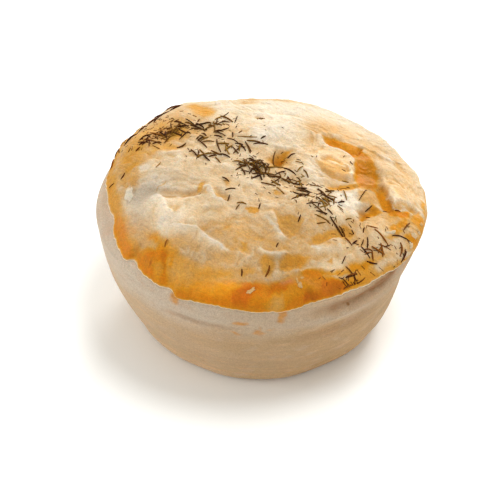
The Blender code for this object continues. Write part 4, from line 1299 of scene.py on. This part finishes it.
# (x, y, heading, length)
PLACED_NEEDLES = (
    (-48.7, 2.8, 140, 2.4),
    (-44.0, 2.7, 60, 2.4),
    (-32.5, 2.0, 70, 3.6),
    (-28.8, -32.3, 75, 2.6),
    (-5.9, -44.2, 88, 2.2),
    (1.8, -43.5, 72, 4.0),
    (-11.0, -6.5, -55, 3.6),
    (-9.5, -12.2, 5, 3.2),
    (-10.0, -16.2, 78, 2.6),
    (-6.0, -18.8, -12, 3.0),
    (-7.2, -20.5, 65, 2.6),
    (-0.5, -19.5, 80, 2.6),
    (11.6, -24.5, 70, 2.4),
    (18.2, -25.8, 25, 3.0),
    (23.0, -26.0, -56, 7.2),
    (24.6, -26.8, -60, 3.6),
    (26.7, -22.5, 30, 2.2),
    (17.5, -20.5, -42, 6.4),
    (28.3, -31.0, 55, 2.6),
    (26.4, -31.2, -55, 3.6),
    (31.3, -25.8, 80, 2.2),
    (34.0, -24.3, -14, 3.4),
    (36.6, -27.2, -42, 5.4),
    (38.3, -29.6, 40, 2.4),
    (32.2, -30.2, 88, 3.8),
    (30.6, -30.4, 70, 2.4),
    (32.5, -32.6, 15, 2.6),
    (31.5, -33.7, -45, 3.8),
    (36.2, -31.4, 60, 2.6),
    (33.4, -36.0, 8, 3.2),
    (24.7, -38.0, 60, 2.2),
    (27.2, -41.4, 25, 3.4),
    (28.4, -42.2, 80, 2.2),
    (4.8, -35.2, 65, 1.5),
    (42.5, -25.1, 12, 5.0),
    (41.8, -28.6, 72, 3.8),
    (45.0, -20.0, 63, 4.4),
    (42.3, -15.0, 25, 2.0),
    (33.2, -16.0, 38, 2.8),
    (31.5, -11.3, 68, 7.2),
    (26.0, -12.5, -78, 4.2),
    (24.7, -15.7, 20, 2.2),
    (24.3, -18.2, -45, 2.4),
    (21.3, -10.4, 8, 2.8),
    (25.6, -8.7, -12, 2.6),
    (26.2, -4.7, -20, 2.2),
    (2.3, -8.5, -22, 5.0),
    (6.0, -12.0, -60, 4.6),
    (3.9, 0.6, 2, 6.2),
    (9.0, -1.3, -38, 4.8),
    (12.3, -0.5, 50, 3.2),
    (14.0, -2.6, -65, 3.4),
    (12.2, 3.3, -25, 2.2),
    (9.9, 7.3, 28, 2.8),
    (4.4, 6.2, 86, 6.4),
    (0.8, 15.0, 38, 2.0),
    (-4.3, 15.7, -10, 6.4),
    (-2.3, 13.7, -18, 4.6),
    (-4.0, 11.2, -70, 5.6),
    (-7.8, 21.9, 80, 2.2),
    (-6.5, 18.6, 60, 2.2),
    (-11.8, 29.8, 55, 4.8),
    (-15.1, 22.0, -84, 6.4),
    (-13.4, 12.0, -78, 6.4),
    (-12.0, 13.0, 0, 3.8),
    (-18.6, 12.6, -57, 5.4),
    (-21.0, 7.0, -62, 5.4),
    (-25.4, 12.2, 48, 4.2),
    (-10.6, 9.8, -75, 5.0),
    (-12.4, 19.8, 28, 5.0),
    (-13.6, 3.6, -66, 4.0),
)

# Where the herb lies thick: (x, y, heading, half length, half width, needles)
HERB_DRIFTS = (
    (-30.5, 20, 22, 8.0, 3.4, 13),
    (-14.5, 24.5, 20, 5.5, 2.4, 5),
    (-17, 17, 15, 7.0, 3.2, 5),
    (-7.5, 10, -20, 3.6, 3.0, 4),
    (-17, 7, 10, 4.5, 2.0, 4),
    (-2.8, 0.6, -60, 4.6, 3.2, 10),
    (6, -5, -30, 5.5, 2.8, 5),
    (12.5, -12.5, -70, 6.0, 2.4, 5),
    (19.3, -14.5, -78, 6.0, 2.6, 8),
)
DRIFT_LENGTHS = (2.6, 5.6)
DRIFT_SPREAD = 0.68  # spread of the draw, as a share of a drift's half sizes
DRIFT_TURN = 80.0
RIM_HERB_ANGLES = (124, 163)
RIM_HERB_REACH = (48.0, 52.0)
RIM_HERB_COUNT = 9
RIM_HERB_TURN = 30.0
HERB_SEED = 41


def drifted(draw, drift, lengths):
    """One needle drawn from a drift."""
    x, y, heading, half_length, half_width = drift[:5]
    along = draw.gauss(0.0, DRIFT_SPREAD) * half_length
    across = draw.gauss(0.0, DRIFT_SPREAD) * half_width
    step_x, step_y = swung(along, across, heading)
    needle_heading = heading + draw.uniform(-DRIFT_TURN, DRIFT_TURN)
    return x + step_x, y + step_y, needle_heading, draw.uniform(*lengths)


def on_rim(draw, lengths):
    """One needle drawn from the trail along the back left rim."""
    angle = draw.uniform(*RIM_HERB_ANGLES)
    x, y = plan(draw.uniform(*RIM_HERB_REACH), angle)
    needle_heading = angle + 90.0 + draw.uniform(-RIM_HERB_TURN, RIM_HERB_TURN)
    return x, y, needle_heading, draw.uniform(*lengths)


def pulled_in(x, y, heading, length):
    """A needle moved towards the middle until both its tips lie on the lid."""
    step_x, step_y = plan(length / 2, heading)
    reach, angle = polar(x + np.array([-step_x, step_x]), y + np.array([-step_y, step_y]))
    beyond = np.max(reach - edge_reach(angle)) + NEEDLE_MARGIN
    share = 1.0 - max(0.0, beyond) / math.hypot(x, y)
    return x * share, y * share, heading, length


def drawn(draw, drift, lengths, count):
    """A number of needles drawn from a drift."""
    return [drifted(draw, drift, lengths) for _ in range(round(count))]


draw = random.Random(HERB_SEED)
needles = list(PLACED_NEEDLES)
for herb_drift in HERB_DRIFTS:
    needles += drawn(draw, herb_drift, DRIFT_LENGTHS, herb_drift[5])
needles += [on_rim(draw, DRIFT_LENGTHS) for _ in range(RIM_HERB_COUNT)]
print(len(needles), "needles that the packed lid holds")

# %% The finer herb between them
FINE_HERB_SEED = 43
FINE_LENGTHS = (1.8, 4.4)
FINE_PER_NEEDLE = 1.5
CRUMB_LENGTHS = (0.5, 1.6)
CRUMBS_PER_NEEDLE = 2.6
RIM_FINE_COUNT = 4
RIM_CRUMB_COUNT = 18
# Small knots, in the same form as the drifts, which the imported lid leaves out
HERB_KNOTS = (
    (31.7, -32.5, 60, 1.8, 1.5, 1),
    (36.3, -31.5, 60, 1.6, 1.4, 2),
    (27.3, -42.2, 40, 1.6, 1.2, 2),
    (26.8, -44.0, 10, 2.0, 0.6, 1),
    (41.8, -29.2, 70, 1.6, 1.6, 1),
)
# Stray crumbs lie thinly over wider ground: (x, y, heading, half length, half width, crumbs)
CRUMB_GROUNDS = (
    (0, 4, -25, 30, 12, 60),
    (30, -27, -30, 12, 8, 40),
    (24, -42, 25, 7, 3, 14),
    (-34, 26, 30, 9, 5, 30),
    (-31, 20.5, 22, 6, 2.4, 60),
    (10, -10, -35, 14, 8, 40),
    (-0.2, 29.0, 20, 0.8, 0.6, 18),
)

draw = random.Random(FINE_HERB_SEED)
crumbs = []
for herb_drift in HERB_DRIFTS + HERB_KNOTS:
    needles += drawn(draw, herb_drift, FINE_LENGTHS, herb_drift[5] * FINE_PER_NEEDLE)
    crumbs += drawn(draw, herb_drift, CRUMB_LENGTHS, herb_drift[5] * CRUMBS_PER_NEEDLE)
needles += [on_rim(draw, FINE_LENGTHS) for _ in range(RIM_FINE_COUNT)]
crumbs += [on_rim(draw, CRUMB_LENGTHS) for _ in range(RIM_CRUMB_COUNT)]
for ground in CRUMB_GROUNDS:
    crumbs += drawn(draw, ground, CRUMB_LENGTHS, ground[5])
needles = [pulled_in(*needle) for needle in needles]
crumbs = [pulled_in(*crumb) for crumb in crumbs]
print(len(needles), "needles and", len(crumbs), "crumbs in all")

# %% Lay a needle
NEEDLE_SIDES = 5
LENGTHWISE = 0.9  # only the lengthwise edges of an upright prism are longer than this
NEEDLE_TIP = 0.6  # a tip's width as a share of the middle's
NEEDLE_TAPER = 1.6  # above 1 the needle keeps its width longer before it narrows
NEEDLE_SINK = 0.35  # the share of a needle's thickness that lies below the pastry's surface
NEEDLE_RIDE = 0.6  # how far a stiff needle is lifted by what sticks up under it


def laid_lift(along, x, y):
    """The heights at which a stiff thing rests on the pastry: a shallow arc over the surface under it."""
    under = surface_lift(x, y)
    arc_lift = np.polyval(np.polyfit(along, under, 2), along)
    return arc_lift + NEEDLE_RIDE * max(0.0, float(np.max(under - arc_lift)))


def add_prism(bm, cuts):
    """Adds an upright prism of width and height 1, cut across so that it can bend."""
    made = bmesh.ops.create_cone(
        bm,
        cap_ends=True,
        segments=NEEDLE_SIDES,
        radius1=0.5,
        radius2=0.5,
        depth=1.0,
    )["verts"]
    if cuts:
        edges = {edge for vertex in made for edge in vertex.link_edges if edge.calc_length() > LENGTHWISE}
        bmesh.ops.subdivide_edges(bm, edges=list(edges), cuts=cuts)


def laid_needle(prism, x, y, heading, length, thick, curl, rise):
    """The points of an upright prism once it lies on the lid, curled sideways and arched up."""
    across, up, along = prism.T
    arched = 1.0 - 4 * along**2
    step_x, step_y = swung(along * length, curl * length * arched, heading)
    lift = laid_lift(along, x + step_x, y + step_y) + rise * arched
    place = polar(x + step_x, y + step_y)
    spine = np.stack(over_rim(*place, lift), axis=-1)
    upward = np.stack(over_rim(*place, lift + 1.0), axis=-1) - spine
    sideways = np.cross(upward, spine[np.argmax(along)] - spine[np.argmin(along)])
    sideways /= np.linalg.norm(sideways, axis=1, keepdims=True)
    narrow = 1.0 - (1.0 - NEEDLE_TIP) * (2 * np.abs(along)) ** NEEDLE_TAPER
    raised = thick * (up * narrow + 0.5 - NEEDLE_SINK)
    return spine + sideways * (across * thick * narrow)[:, None] + upward * raised[:, None]


# %% Make the needles and crumbs
HERB_LOOK_SEED = 47
WIDTH_SPREAD = (0.75, 1.25)
SHORT_WIDTH = 0.7  # the width of the very shortest piece, as a share of the full width
WIDTH_GROWTH = 10  # each millimetre of length adds one part in this many, up to the full width
# Each kind of herb: (cuts across it, width, (lowest arch, highest arch), most bend as a share of its length)
NEEDLE_FORM = (4, 0.52, (0.0, 0.35), 0.07)
CRUMB_FORM = (0, 0.5, (0.0, 0.05), 0.0)
TUFT_FORM = (5, 0.34, (0.2, 1.6), 0.42)


def make_herb(places, name, form):
    """All pieces of one kind of herb as a mesh: slim prisms laid over the lid, each with its own tint."""
    cuts, width, arch, bend = form
    draw = random.Random(HERB_LOOK_SEED)
    bm = bmesh.new()
    looks = []
    for _, _, _, length in places:
        add_prism(bm, cuts)
        thick = width * draw.uniform(*WIDTH_SPREAD) * min(1.0, SHORT_WIDTH + length / WIDTH_GROWTH)
        looks.append((thick, draw.uniform(-bend, bend), draw.uniform(*arch), draw.random()))
    mesh = mesh_from(bm, name)
    prisms = read_points(mesh).reshape(len(places), -1, 3)
    laid = [laid_needle(prism, *place, *look[:3]) for prism, place, look in zip(prisms, places, looks)]
    write_points(mesh, *np.concatenate(laid).T)
    bm = bmesh.new()
    bm.from_mesh(mesh)
    outward(bm).to_mesh(mesh)
    bm.free()
    paint(mesh, "tint", np.repeat([look[3] for look in looks], prisms.shape[1]))
    return show(mesh, name)


herb_needles = make_herb(needles, "herb_needles", NEEDLE_FORM)
herb_crumbs = make_herb(crumbs, "herb_crumbs", CRUMB_FORM)

# %% [markdown]
# ### The knot of herb in the middle
#
# At the middle of the pie a tuft of the herb lies in a tangle, its fibres curled up off the pastry. It is
# made in the same way as the needles, but each fibre is thinner, arches higher and bends further.

# %% Make the tuft
TUFT_SEED = 53
TUFT = (-1.9, 0.5, -60, 2.6, 1.9)  # (x, y, heading, half length, half width)
TUFT_FIBRES = 22
TUFT_LENGTHS = (3.0, 5.5)

fibres = drawn(random.Random(TUFT_SEED), TUFT, TUFT_LENGTHS, TUFT_FIBRES)
herb_tuft = make_herb(fibres, "herb_tuft", TUFT_FORM)

# %% [markdown]
# ## Finishes
#
# Each finish is a small recipe of nodes. To keep the recipes readable, a wire of the node tree is wrapped in
# a class that knows plus, minus and times, so a mask can be written as a sum. Colours are mixed with Mix
# nodes.

# %% A small language for shaders
class Wire:
    """A value that flows through a material, which can be used in sums."""

    def __init__(self, recipe, socket):
        self.recipe = recipe
        self.socket = socket

    def __add__(self, other):
        return self.recipe.maths("ADD", self, other)

    def __radd__(self, other):
        return self.recipe.maths("ADD", other, self)

    def __sub__(self, other):
        return self.recipe.maths("SUBTRACT", self, other)

    def __rsub__(self, other):
        return self.recipe.maths("SUBTRACT", other, self)

    def __mul__(self, other):
        return self.recipe.maths("MULTIPLY", self, other)

    def __rmul__(self, other):
        return self.recipe.maths("MULTIPLY", other, self)


class Recipe:
    """The nodes of one material."""

    def __init__(self, name, **fixed):
        self.material = bpy.data.materials.new(name)
        self.material.use_nodes = True
        self.tree = self.material.node_tree
        self.shader = self.tree.nodes["Principled BSDF"]
        for socket, value in fixed.items():
            self.shader.inputs[socket.replace("_", " ")].default_value = value
        self.place = self.node("TexCoord", output="Object")

    def node(self, kind, settings=None, inputs=None, output=0):
        """Adds a node: its settings first, then its inputs, and gives one of its outputs."""
        node = self.tree.nodes.new("ShaderNode" + kind)
        for name, value in (settings or {}).items():
            if name == "stops":
                self.set_stops(node.color_ramp, value)
            else:
                setattr(node, name, value)
        for socket, value in (inputs or {}).items():
            self.feed(node.inputs[socket], value)
        return Wire(self, node.outputs[output])

    def feed(self, socket, value):
        """Links a wire to a socket, or sets its value."""
        if isinstance(value, Wire):
            self.tree.links.new(value.socket, socket)
        else:
            socket.default_value = value

    def set_stops(self, ramp, stops):
        """Gives a colour ramp its stops of (place, colour)."""
        while len(ramp.elements) < len(stops):
            ramp.elements.new(1.0)
        for element, (place, colour) in zip(ramp.elements, stops):
            element.position = place
            element.color = (*colour, 1.0)

    def maths(self, operation, first, second=0.0):
        """One step of arithmetic."""
        return self.node("Math", {"operation": operation}, {0: first, 1: second})

    def clamped(self, value):
        """A value held between 0 and 1."""
        return self.node("Clamp", {}, {"Value": value})

    def steep(self, value, low, high):
        """0 below low, 1 above high, and a smooth rise between."""
        settings = {"interpolation_type": "SMOOTHSTEP"}
        return self.node("MapRange", settings, {"Value": value, "From Min": low, "From Max": high})

    def mix(self, share, first, second):
        """Two colours mixed."""
        colours = [value if isinstance(value, Wire) else (*value, 1.0) for value in (first, second)]
        return self.node("Mix", {"data_type": "RGBA"}, {0: share, 6: colours[0], 7: colours[1]}, 2)

    def shared(self, share, colour, kept):
        """A colour of which only a part of its red, green and blue is kept."""
        settings = {"data_type": "RGBA", "blend_type": "MULTIPLY"}
        return self.node("Mix", settings, {0: share, 6: colour, 7: (*kept, 1.0)}, 2)

    def roughened(self, value, *noises):
        """A value moved up and down by noises, each with how far it moves it."""
        for noise_wire, amount in noises:
            value = value + (noise_wire - 0.5) * amount
        return value

    def shaded(self, colour, share):
        """A colour made lighter or darker."""
        return self.node("VectorMath", {"operation": "SCALE"}, {0: colour, "Scale": share})

    def field(self, name):
        """A field that was painted on the mesh."""
        return self.node("Attribute", {"attribute_name": name}, output="Fac")

    def grain(self, millimetres, detail=2.0, stretch=(1.0, 1.0, 1.0), heading=0.0):
        """Noise from 0 to 1 with grains of a size, stretched along X, Y and Z after a turn to a heading."""
        turned_place = {"Vector": self.place, "Scale": stretch, "Rotation": (0.0, 0.0, heading)}
        scaled = self.node("Mapping", {"vector_type": "TEXTURE"}, turned_place)
        inputs = {"Vector": scaled, "Scale": 1.0 / (millimetres * MM), "Detail": detail}
        return self.node("TexNoise", {}, inputs, "Fac")

    def finish(self, colour, roughness, bump=None, depth=0.0):
        """Feeds the shader, with bumps of a depth in millimetres."""
        self.feed(self.shader.inputs["Base Color"], colour)
        self.feed(self.shader.inputs["Roughness"], roughness)
        if bump is not None:
            inputs = {"Height": bump, "Distance": depth * MM, "Strength": 1.0}
            self.feed(self.shader.inputs["Normal"], self.node("Bump", {}, inputs, "Normal"))
        return self.material


# %% [markdown]
# ### Pale pastry
#
# The wall is dull and dry. Near the rim it is a greyish beige with a pink cast, and lower down it warms to
# tan with fine dark speckle. The change follows the height, roughened by noise, so that no line shows. Near
# its foot it is painted lighter, painted light that lifts the shade where the base turns under.

# %% The case's finish
WALL_UPPER = (0.445, 0.355, 0.265)
WALL_LOWER = (0.425, 0.290, 0.168)
WALL_UPPER_TAN = (0.435, 0.305, 0.185)
WALL_LOWER_TAN = (0.385, 0.245, 0.120)
WALL_PINK = (0.46, 0.335, 0.235)
WALL_PEACH = (0.50, 0.285, 0.130)
WALL_SPECK = (0.26, 0.15, 0.055)
TOAST_AND_SHADE_COLOUR = (0.235, 0.105, 0.032)
WASH_COLOUR = (0.47, 0.20, 0.03)
UPPER_SPAN = (26.0, 36.0)  # the heights where the upper colour starts and where it is full
UPPER_RAGGED = 16.0  # how far noise moves those heights
# The wall's foot is painted lighter: painted light that lifts the shade where the base turns under.
FOOT_HEIGHT = 14.0  # below this the wall grows lighter
FOOT_PAINTED_LIGHT = 0.32
# Where in its noise each colour starts and where it is full
PINK_SPAN = (0.5, 0.72)
PEACH_SPAN = (0.5, 0.75)
SPECK_SPAN = (0.60, 0.78)
WASH_SPAN = (0.15, 1.0)
# The most that each colour covers
PINK_MOST = 0.5
PEACH_MOST = 0.45
SPECK_MOST = 0.30
WASH_MOST = 0.9
WALL_BUMP = 0.16

wall = Recipe("pale_pastry_finish", Specular_IOR_Level=0.3, Subsurface_Weight=0.12, Subsurface_Scale=0.0015)
height = wall.node("SeparateXYZ", {}, {"Vector": wall.place}, "Z")
broad = wall.grain(14.0, 3.0)
patchy = wall.grain(5.0, 4.0, (1.0, 1.0, 0.6))
fine = wall.grain(0.7, 3.0)
upper_start, upper_full = (place * MM for place in UPPER_SPAN)
upper = wall.steep(wall.roughened(height, (broad, UPPER_RAGGED * MM)), upper_start, upper_full)
tan_share = wall.clamped(wall.roughened(wall.field("tan"), (patchy, 0.5)))
colour = wall.mix(
    tan_share,
    wall.mix(upper, WALL_LOWER, WALL_UPPER),
    wall.mix(upper, WALL_LOWER_TAN, WALL_UPPER_TAN),
)
colour = wall.mix(wall.steep(patchy, *PINK_SPAN) * PINK_MOST, colour, WALL_PINK)
ribbons = wall.grain(1.5, 3.0, (7.0, 7.0, 1.0))
peach = wall.steep(wall.roughened(ribbons, (patchy, 0.4)), *PEACH_SPAN) * (1.0 - upper)
colour = wall.mix(peach * PEACH_MOST, colour, WALL_PEACH)
specks = wall.steep(wall.roughened(fine, (patchy, 0.4)), *SPECK_SPAN)
colour = wall.mix(specks * SPECK_MOST, colour, WALL_SPECK)
# Dark brown: toasted specks, and painted shade under the lid's edge and in the grooves.
toast = wall.field("toast")
colour = wall.mix(wall.clamped(toast + (patchy - 0.5) * 0.3 * toast), colour, TOAST_AND_SHADE_COLOUR)
wash = wall.steep(wall.roughened(wall.field("wash"), (wall.grain(1.4), 0.9)), *WASH_SPAN)
colour = wall.mix(wash * WASH_MOST, colour, WASH_COLOUR)
tone = wall.roughened(1.0, (wall.grain(0.4, 2.0), 0.65), (fine, 0.40), (ribbons, 0.25))
tone = tone + wall.steep(height, FOOT_HEIGHT * MM, 0.0) * FOOT_PAINTED_LIGHT
bump = fine + wall.grain(2.5, 3.0) * 1.5
case_mesh.materials.append(wall.finish(wall.shaded(colour, tone), 0.75 - wash * 0.2, bump, WALL_BUMP))
print("case finish:", len(wall.tree.nodes), "nodes")

# %% [markdown]
# ### Baked pastry
#
# As pastry bakes, it loses blue first and then green, so its colours lie on one path: pinkish white, cream,
# tan, amber, orange and brown. The finish reads the baked field, frays it with noise at several sizes, and
# looks the colour up along that path. Where the field is high there is glaze, which is smoother.

# %% The lid's finish
BAKE_STOPS = (
    (0.00, (0.605, 0.530, 0.420)),
    (0.22, (0.565, 0.430, 0.270)),
    (0.42, (0.500, 0.302, 0.124)),
    (0.60, (0.510, 0.258, 0.052)),
    (0.80, (0.512, 0.206, 0.011)),
    (0.92, (0.500, 0.156, 0.006)),
    (1.00, (0.440, 0.110, 0.007)),
)
GREY_SHADE = (0.42, 0.340, 0.250)
SCORCH_AND_SHADOW = (0.22, 0.055, 0.008)
GRAIN_HEADING = math.radians(-35.0)
GLAZE_SPAN = (0.55, 0.95)  # from where in the bake there is glaze, and where it covers all
CRUST_BUMP = 0.2

crust = Recipe(
    "baked_pastry_finish",
    Specular_IOR_Level=0.04,
    Subsurface_Weight=0.12,
    Subsurface_Scale=0.0012,
)
patchy = crust.grain(4.5, 4.0)
streaks = crust.grain(0.9, 5.0, (2.6, 1.0, 1.0), GRAIN_HEADING)
speckle = crust.grain(0.6, 3.0)
fine = crust.grain(0.35, 2.0)
bake = crust.roughened(crust.field("bake"), (patchy, 0.24), (streaks, 0.10))
colour = crust.node("ValToRGB", {"stops": BAKE_STOPS}, {"Fac": bake}, "Color")
# Greyish painted shade.
colour = crust.mix(crust.clamped(crust.field("grey") * (0.5 + patchy)), colour, GREY_SHADE)
# Scorched brown, and painted shadow.
colour = crust.mix(crust.clamped(crust.field("brown") * (0.4 + streaks)), colour, SCORCH_AND_SHADOW)
# Lighter and darker, much of it painted light and shade.
tone = 1.0 + crust.field("tone")
tone = crust.roughened(tone, (patchy, 0.20), (streaks, 0.50), (speckle, 0.45), (fine, 0.55))
glazed = crust.steep(bake, *GLAZE_SPAN)
bump = (streaks * 1.3 + speckle * 0.8 + fine * 0.3) * (1.0 - glazed * 0.4)
crust_finish = crust.finish(crust.shaded(colour, tone), 0.62 - glazed * 0.12, bump, CRUST_BUMP)
for piece in (lid, flakes):
    piece.data.materials.append(crust_finish)
print("lid finish:", len(crust.tree.nodes), "nodes")

# %% [markdown]
# ### Dried herb
#
# Dried needles run from near black through brown to a dull olive. Each piece carries a random tint, and the
# finish spreads those colours over the tints. Near the pie's edge the oven browned the herb, so a ring of
# that colour is laid over them by the distance from the middle.

# %% The herb's finish
HERB_STOPS = (
    (0.0, (0.040, 0.012, 0.002)),
    (0.4, (0.076, 0.026, 0.003)),
    (0.7, (0.150, 0.064, 0.006)),
    (1.0, (0.260, 0.135, 0.016)),
)
BROWNED_SHARE = (0.95, 0.62, 0.50)  # what is left of each colour where the oven browned the herb
BROWNED_FROM = 33.0  # millimetres from the middle
BROWNED_FULL = 42.0
HERB_BUMP = 0.05

herb = Recipe("dried_herb_finish", Specular_IOR_Level=0.1)
shade = herb.roughened(herb.field("tint"), (herb.grain(0.8), 0.4))
flat_place = herb.node("VectorMath", {"operation": "MULTIPLY"}, {0: herb.place, 1: (1.0, 1.0, 0.0)})
outwards = herb.node("VectorMath", {"operation": "LENGTH"}, {0: flat_place}, "Value")
browned = herb.steep(outwards, BROWNED_FROM * MM, BROWNED_FULL * MM)
colour = herb.node("ValToRGB", {"stops": HERB_STOPS}, {"Fac": shade}, "Color")
colour = herb.shared(browned, colour, BROWNED_SHARE)
herb_finish = herb.finish(colour, 0.8, herb.grain(0.3), HERB_BUMP)
for piece in (herb_needles, herb_crumbs, herb_tuft):
    piece.data.materials.append(herb_finish)

# %% [markdown]
# ## Table, light and camera
#
# The pie stands on a plain white surface. A soft light hangs over it, a second one behind it makes its back
# rim bright, and a third from the left opens up the wall. White surroundings fill the rest. A long lens looks
# down on the pie from 40 degrees above the horizon.

# %% Floor
FLOOR_HALF = 1.5
PAPER_WHITE = (0.95, 0.967, 0.957, 1.0)

bm = bmesh.new()
bmesh.ops.create_grid(bm, x_segments=1, y_segments=1, size=FLOOR_HALF)
floor = bpy.data.objects.new("floor", mesh_from(bm, "floor"))
bpy.context.scene.collection.objects.link(floor)
paper = Recipe("white_surface", Specular_IOR_Level=0.1)
floor.data.materials.append(paper.finish(PAPER_WHITE, 0.8))

# %% Lights
LIGHT_FAR = 1.2
LIGHT_TARGET = (0.0, 0.0, 0.02)
SKY_COLOUR = (1.0, 0.985, 0.95, 1.0)
SKY_STRENGTH = 0.77


def aim(thing, place, target):
    """Puts a light or camera at a place, looking at a target."""
    thing.location = place
    thing.rotation_mode = "QUATERNION"
    thing.rotation_quaternion = (Vector(target) - Vector(place)).to_track_quat("-Z", "Y")
    bpy.context.scene.collection.objects.link(thing)


def soft_light(name, azimuth, elevation, size, power):
    """A round soft lamp that looks at the pie from a direction."""
    lamp = bpy.data.lights.new(name, "AREA")
    lamp.shape = "DISK"
    lamp.size = size
    lamp.energy = power
    out, up = plan(LIGHT_FAR, elevation)
    aim(bpy.data.objects.new(name, lamp), (*plan(out, azimuth), up), LIGHT_TARGET)


soft_light("overhead", 0.0, 77.0, 0.5, 7.2)
soft_light("behind", 71.0, 16.5, 0.45, 11.2)
soft_light("left", 182.0, 12.0, 0.5, 4.6)
surroundings = bpy.data.worlds.new("surroundings")
surroundings.use_nodes = True
sky = surroundings.node_tree.nodes["Background"]
sky.inputs["Color"].default_value = SKY_COLOUR
sky.inputs["Strength"].default_value = SKY_STRENGTH
bpy.context.scene.world = surroundings
bpy.context.scene.view_settings.view_transform = "Standard"

# %% Camera
CAMERA_RISE = 40.0
CAMERA_FAR = 0.6
CAMERA_TARGET = Vector((-0.0039, 0.00007, 0.0218))
LENS = 132.5
SENSOR = 36.0
NEAREST_SEEN = 0.01

lens = bpy.data.cameras.new("camera")
lens.lens = LENS
lens.sensor_width = SENSOR
lens.clip_start = NEAREST_SEEN
camera = bpy.data.objects.new("camera", lens)
rise = math.radians(CAMERA_RISE)
away = Vector((0.0, -math.cos(rise), math.sin(rise)))
aim(camera, CAMERA_TARGET + CAMERA_FAR * away, CAMERA_TARGET)
bpy.context.scene.camera = camera
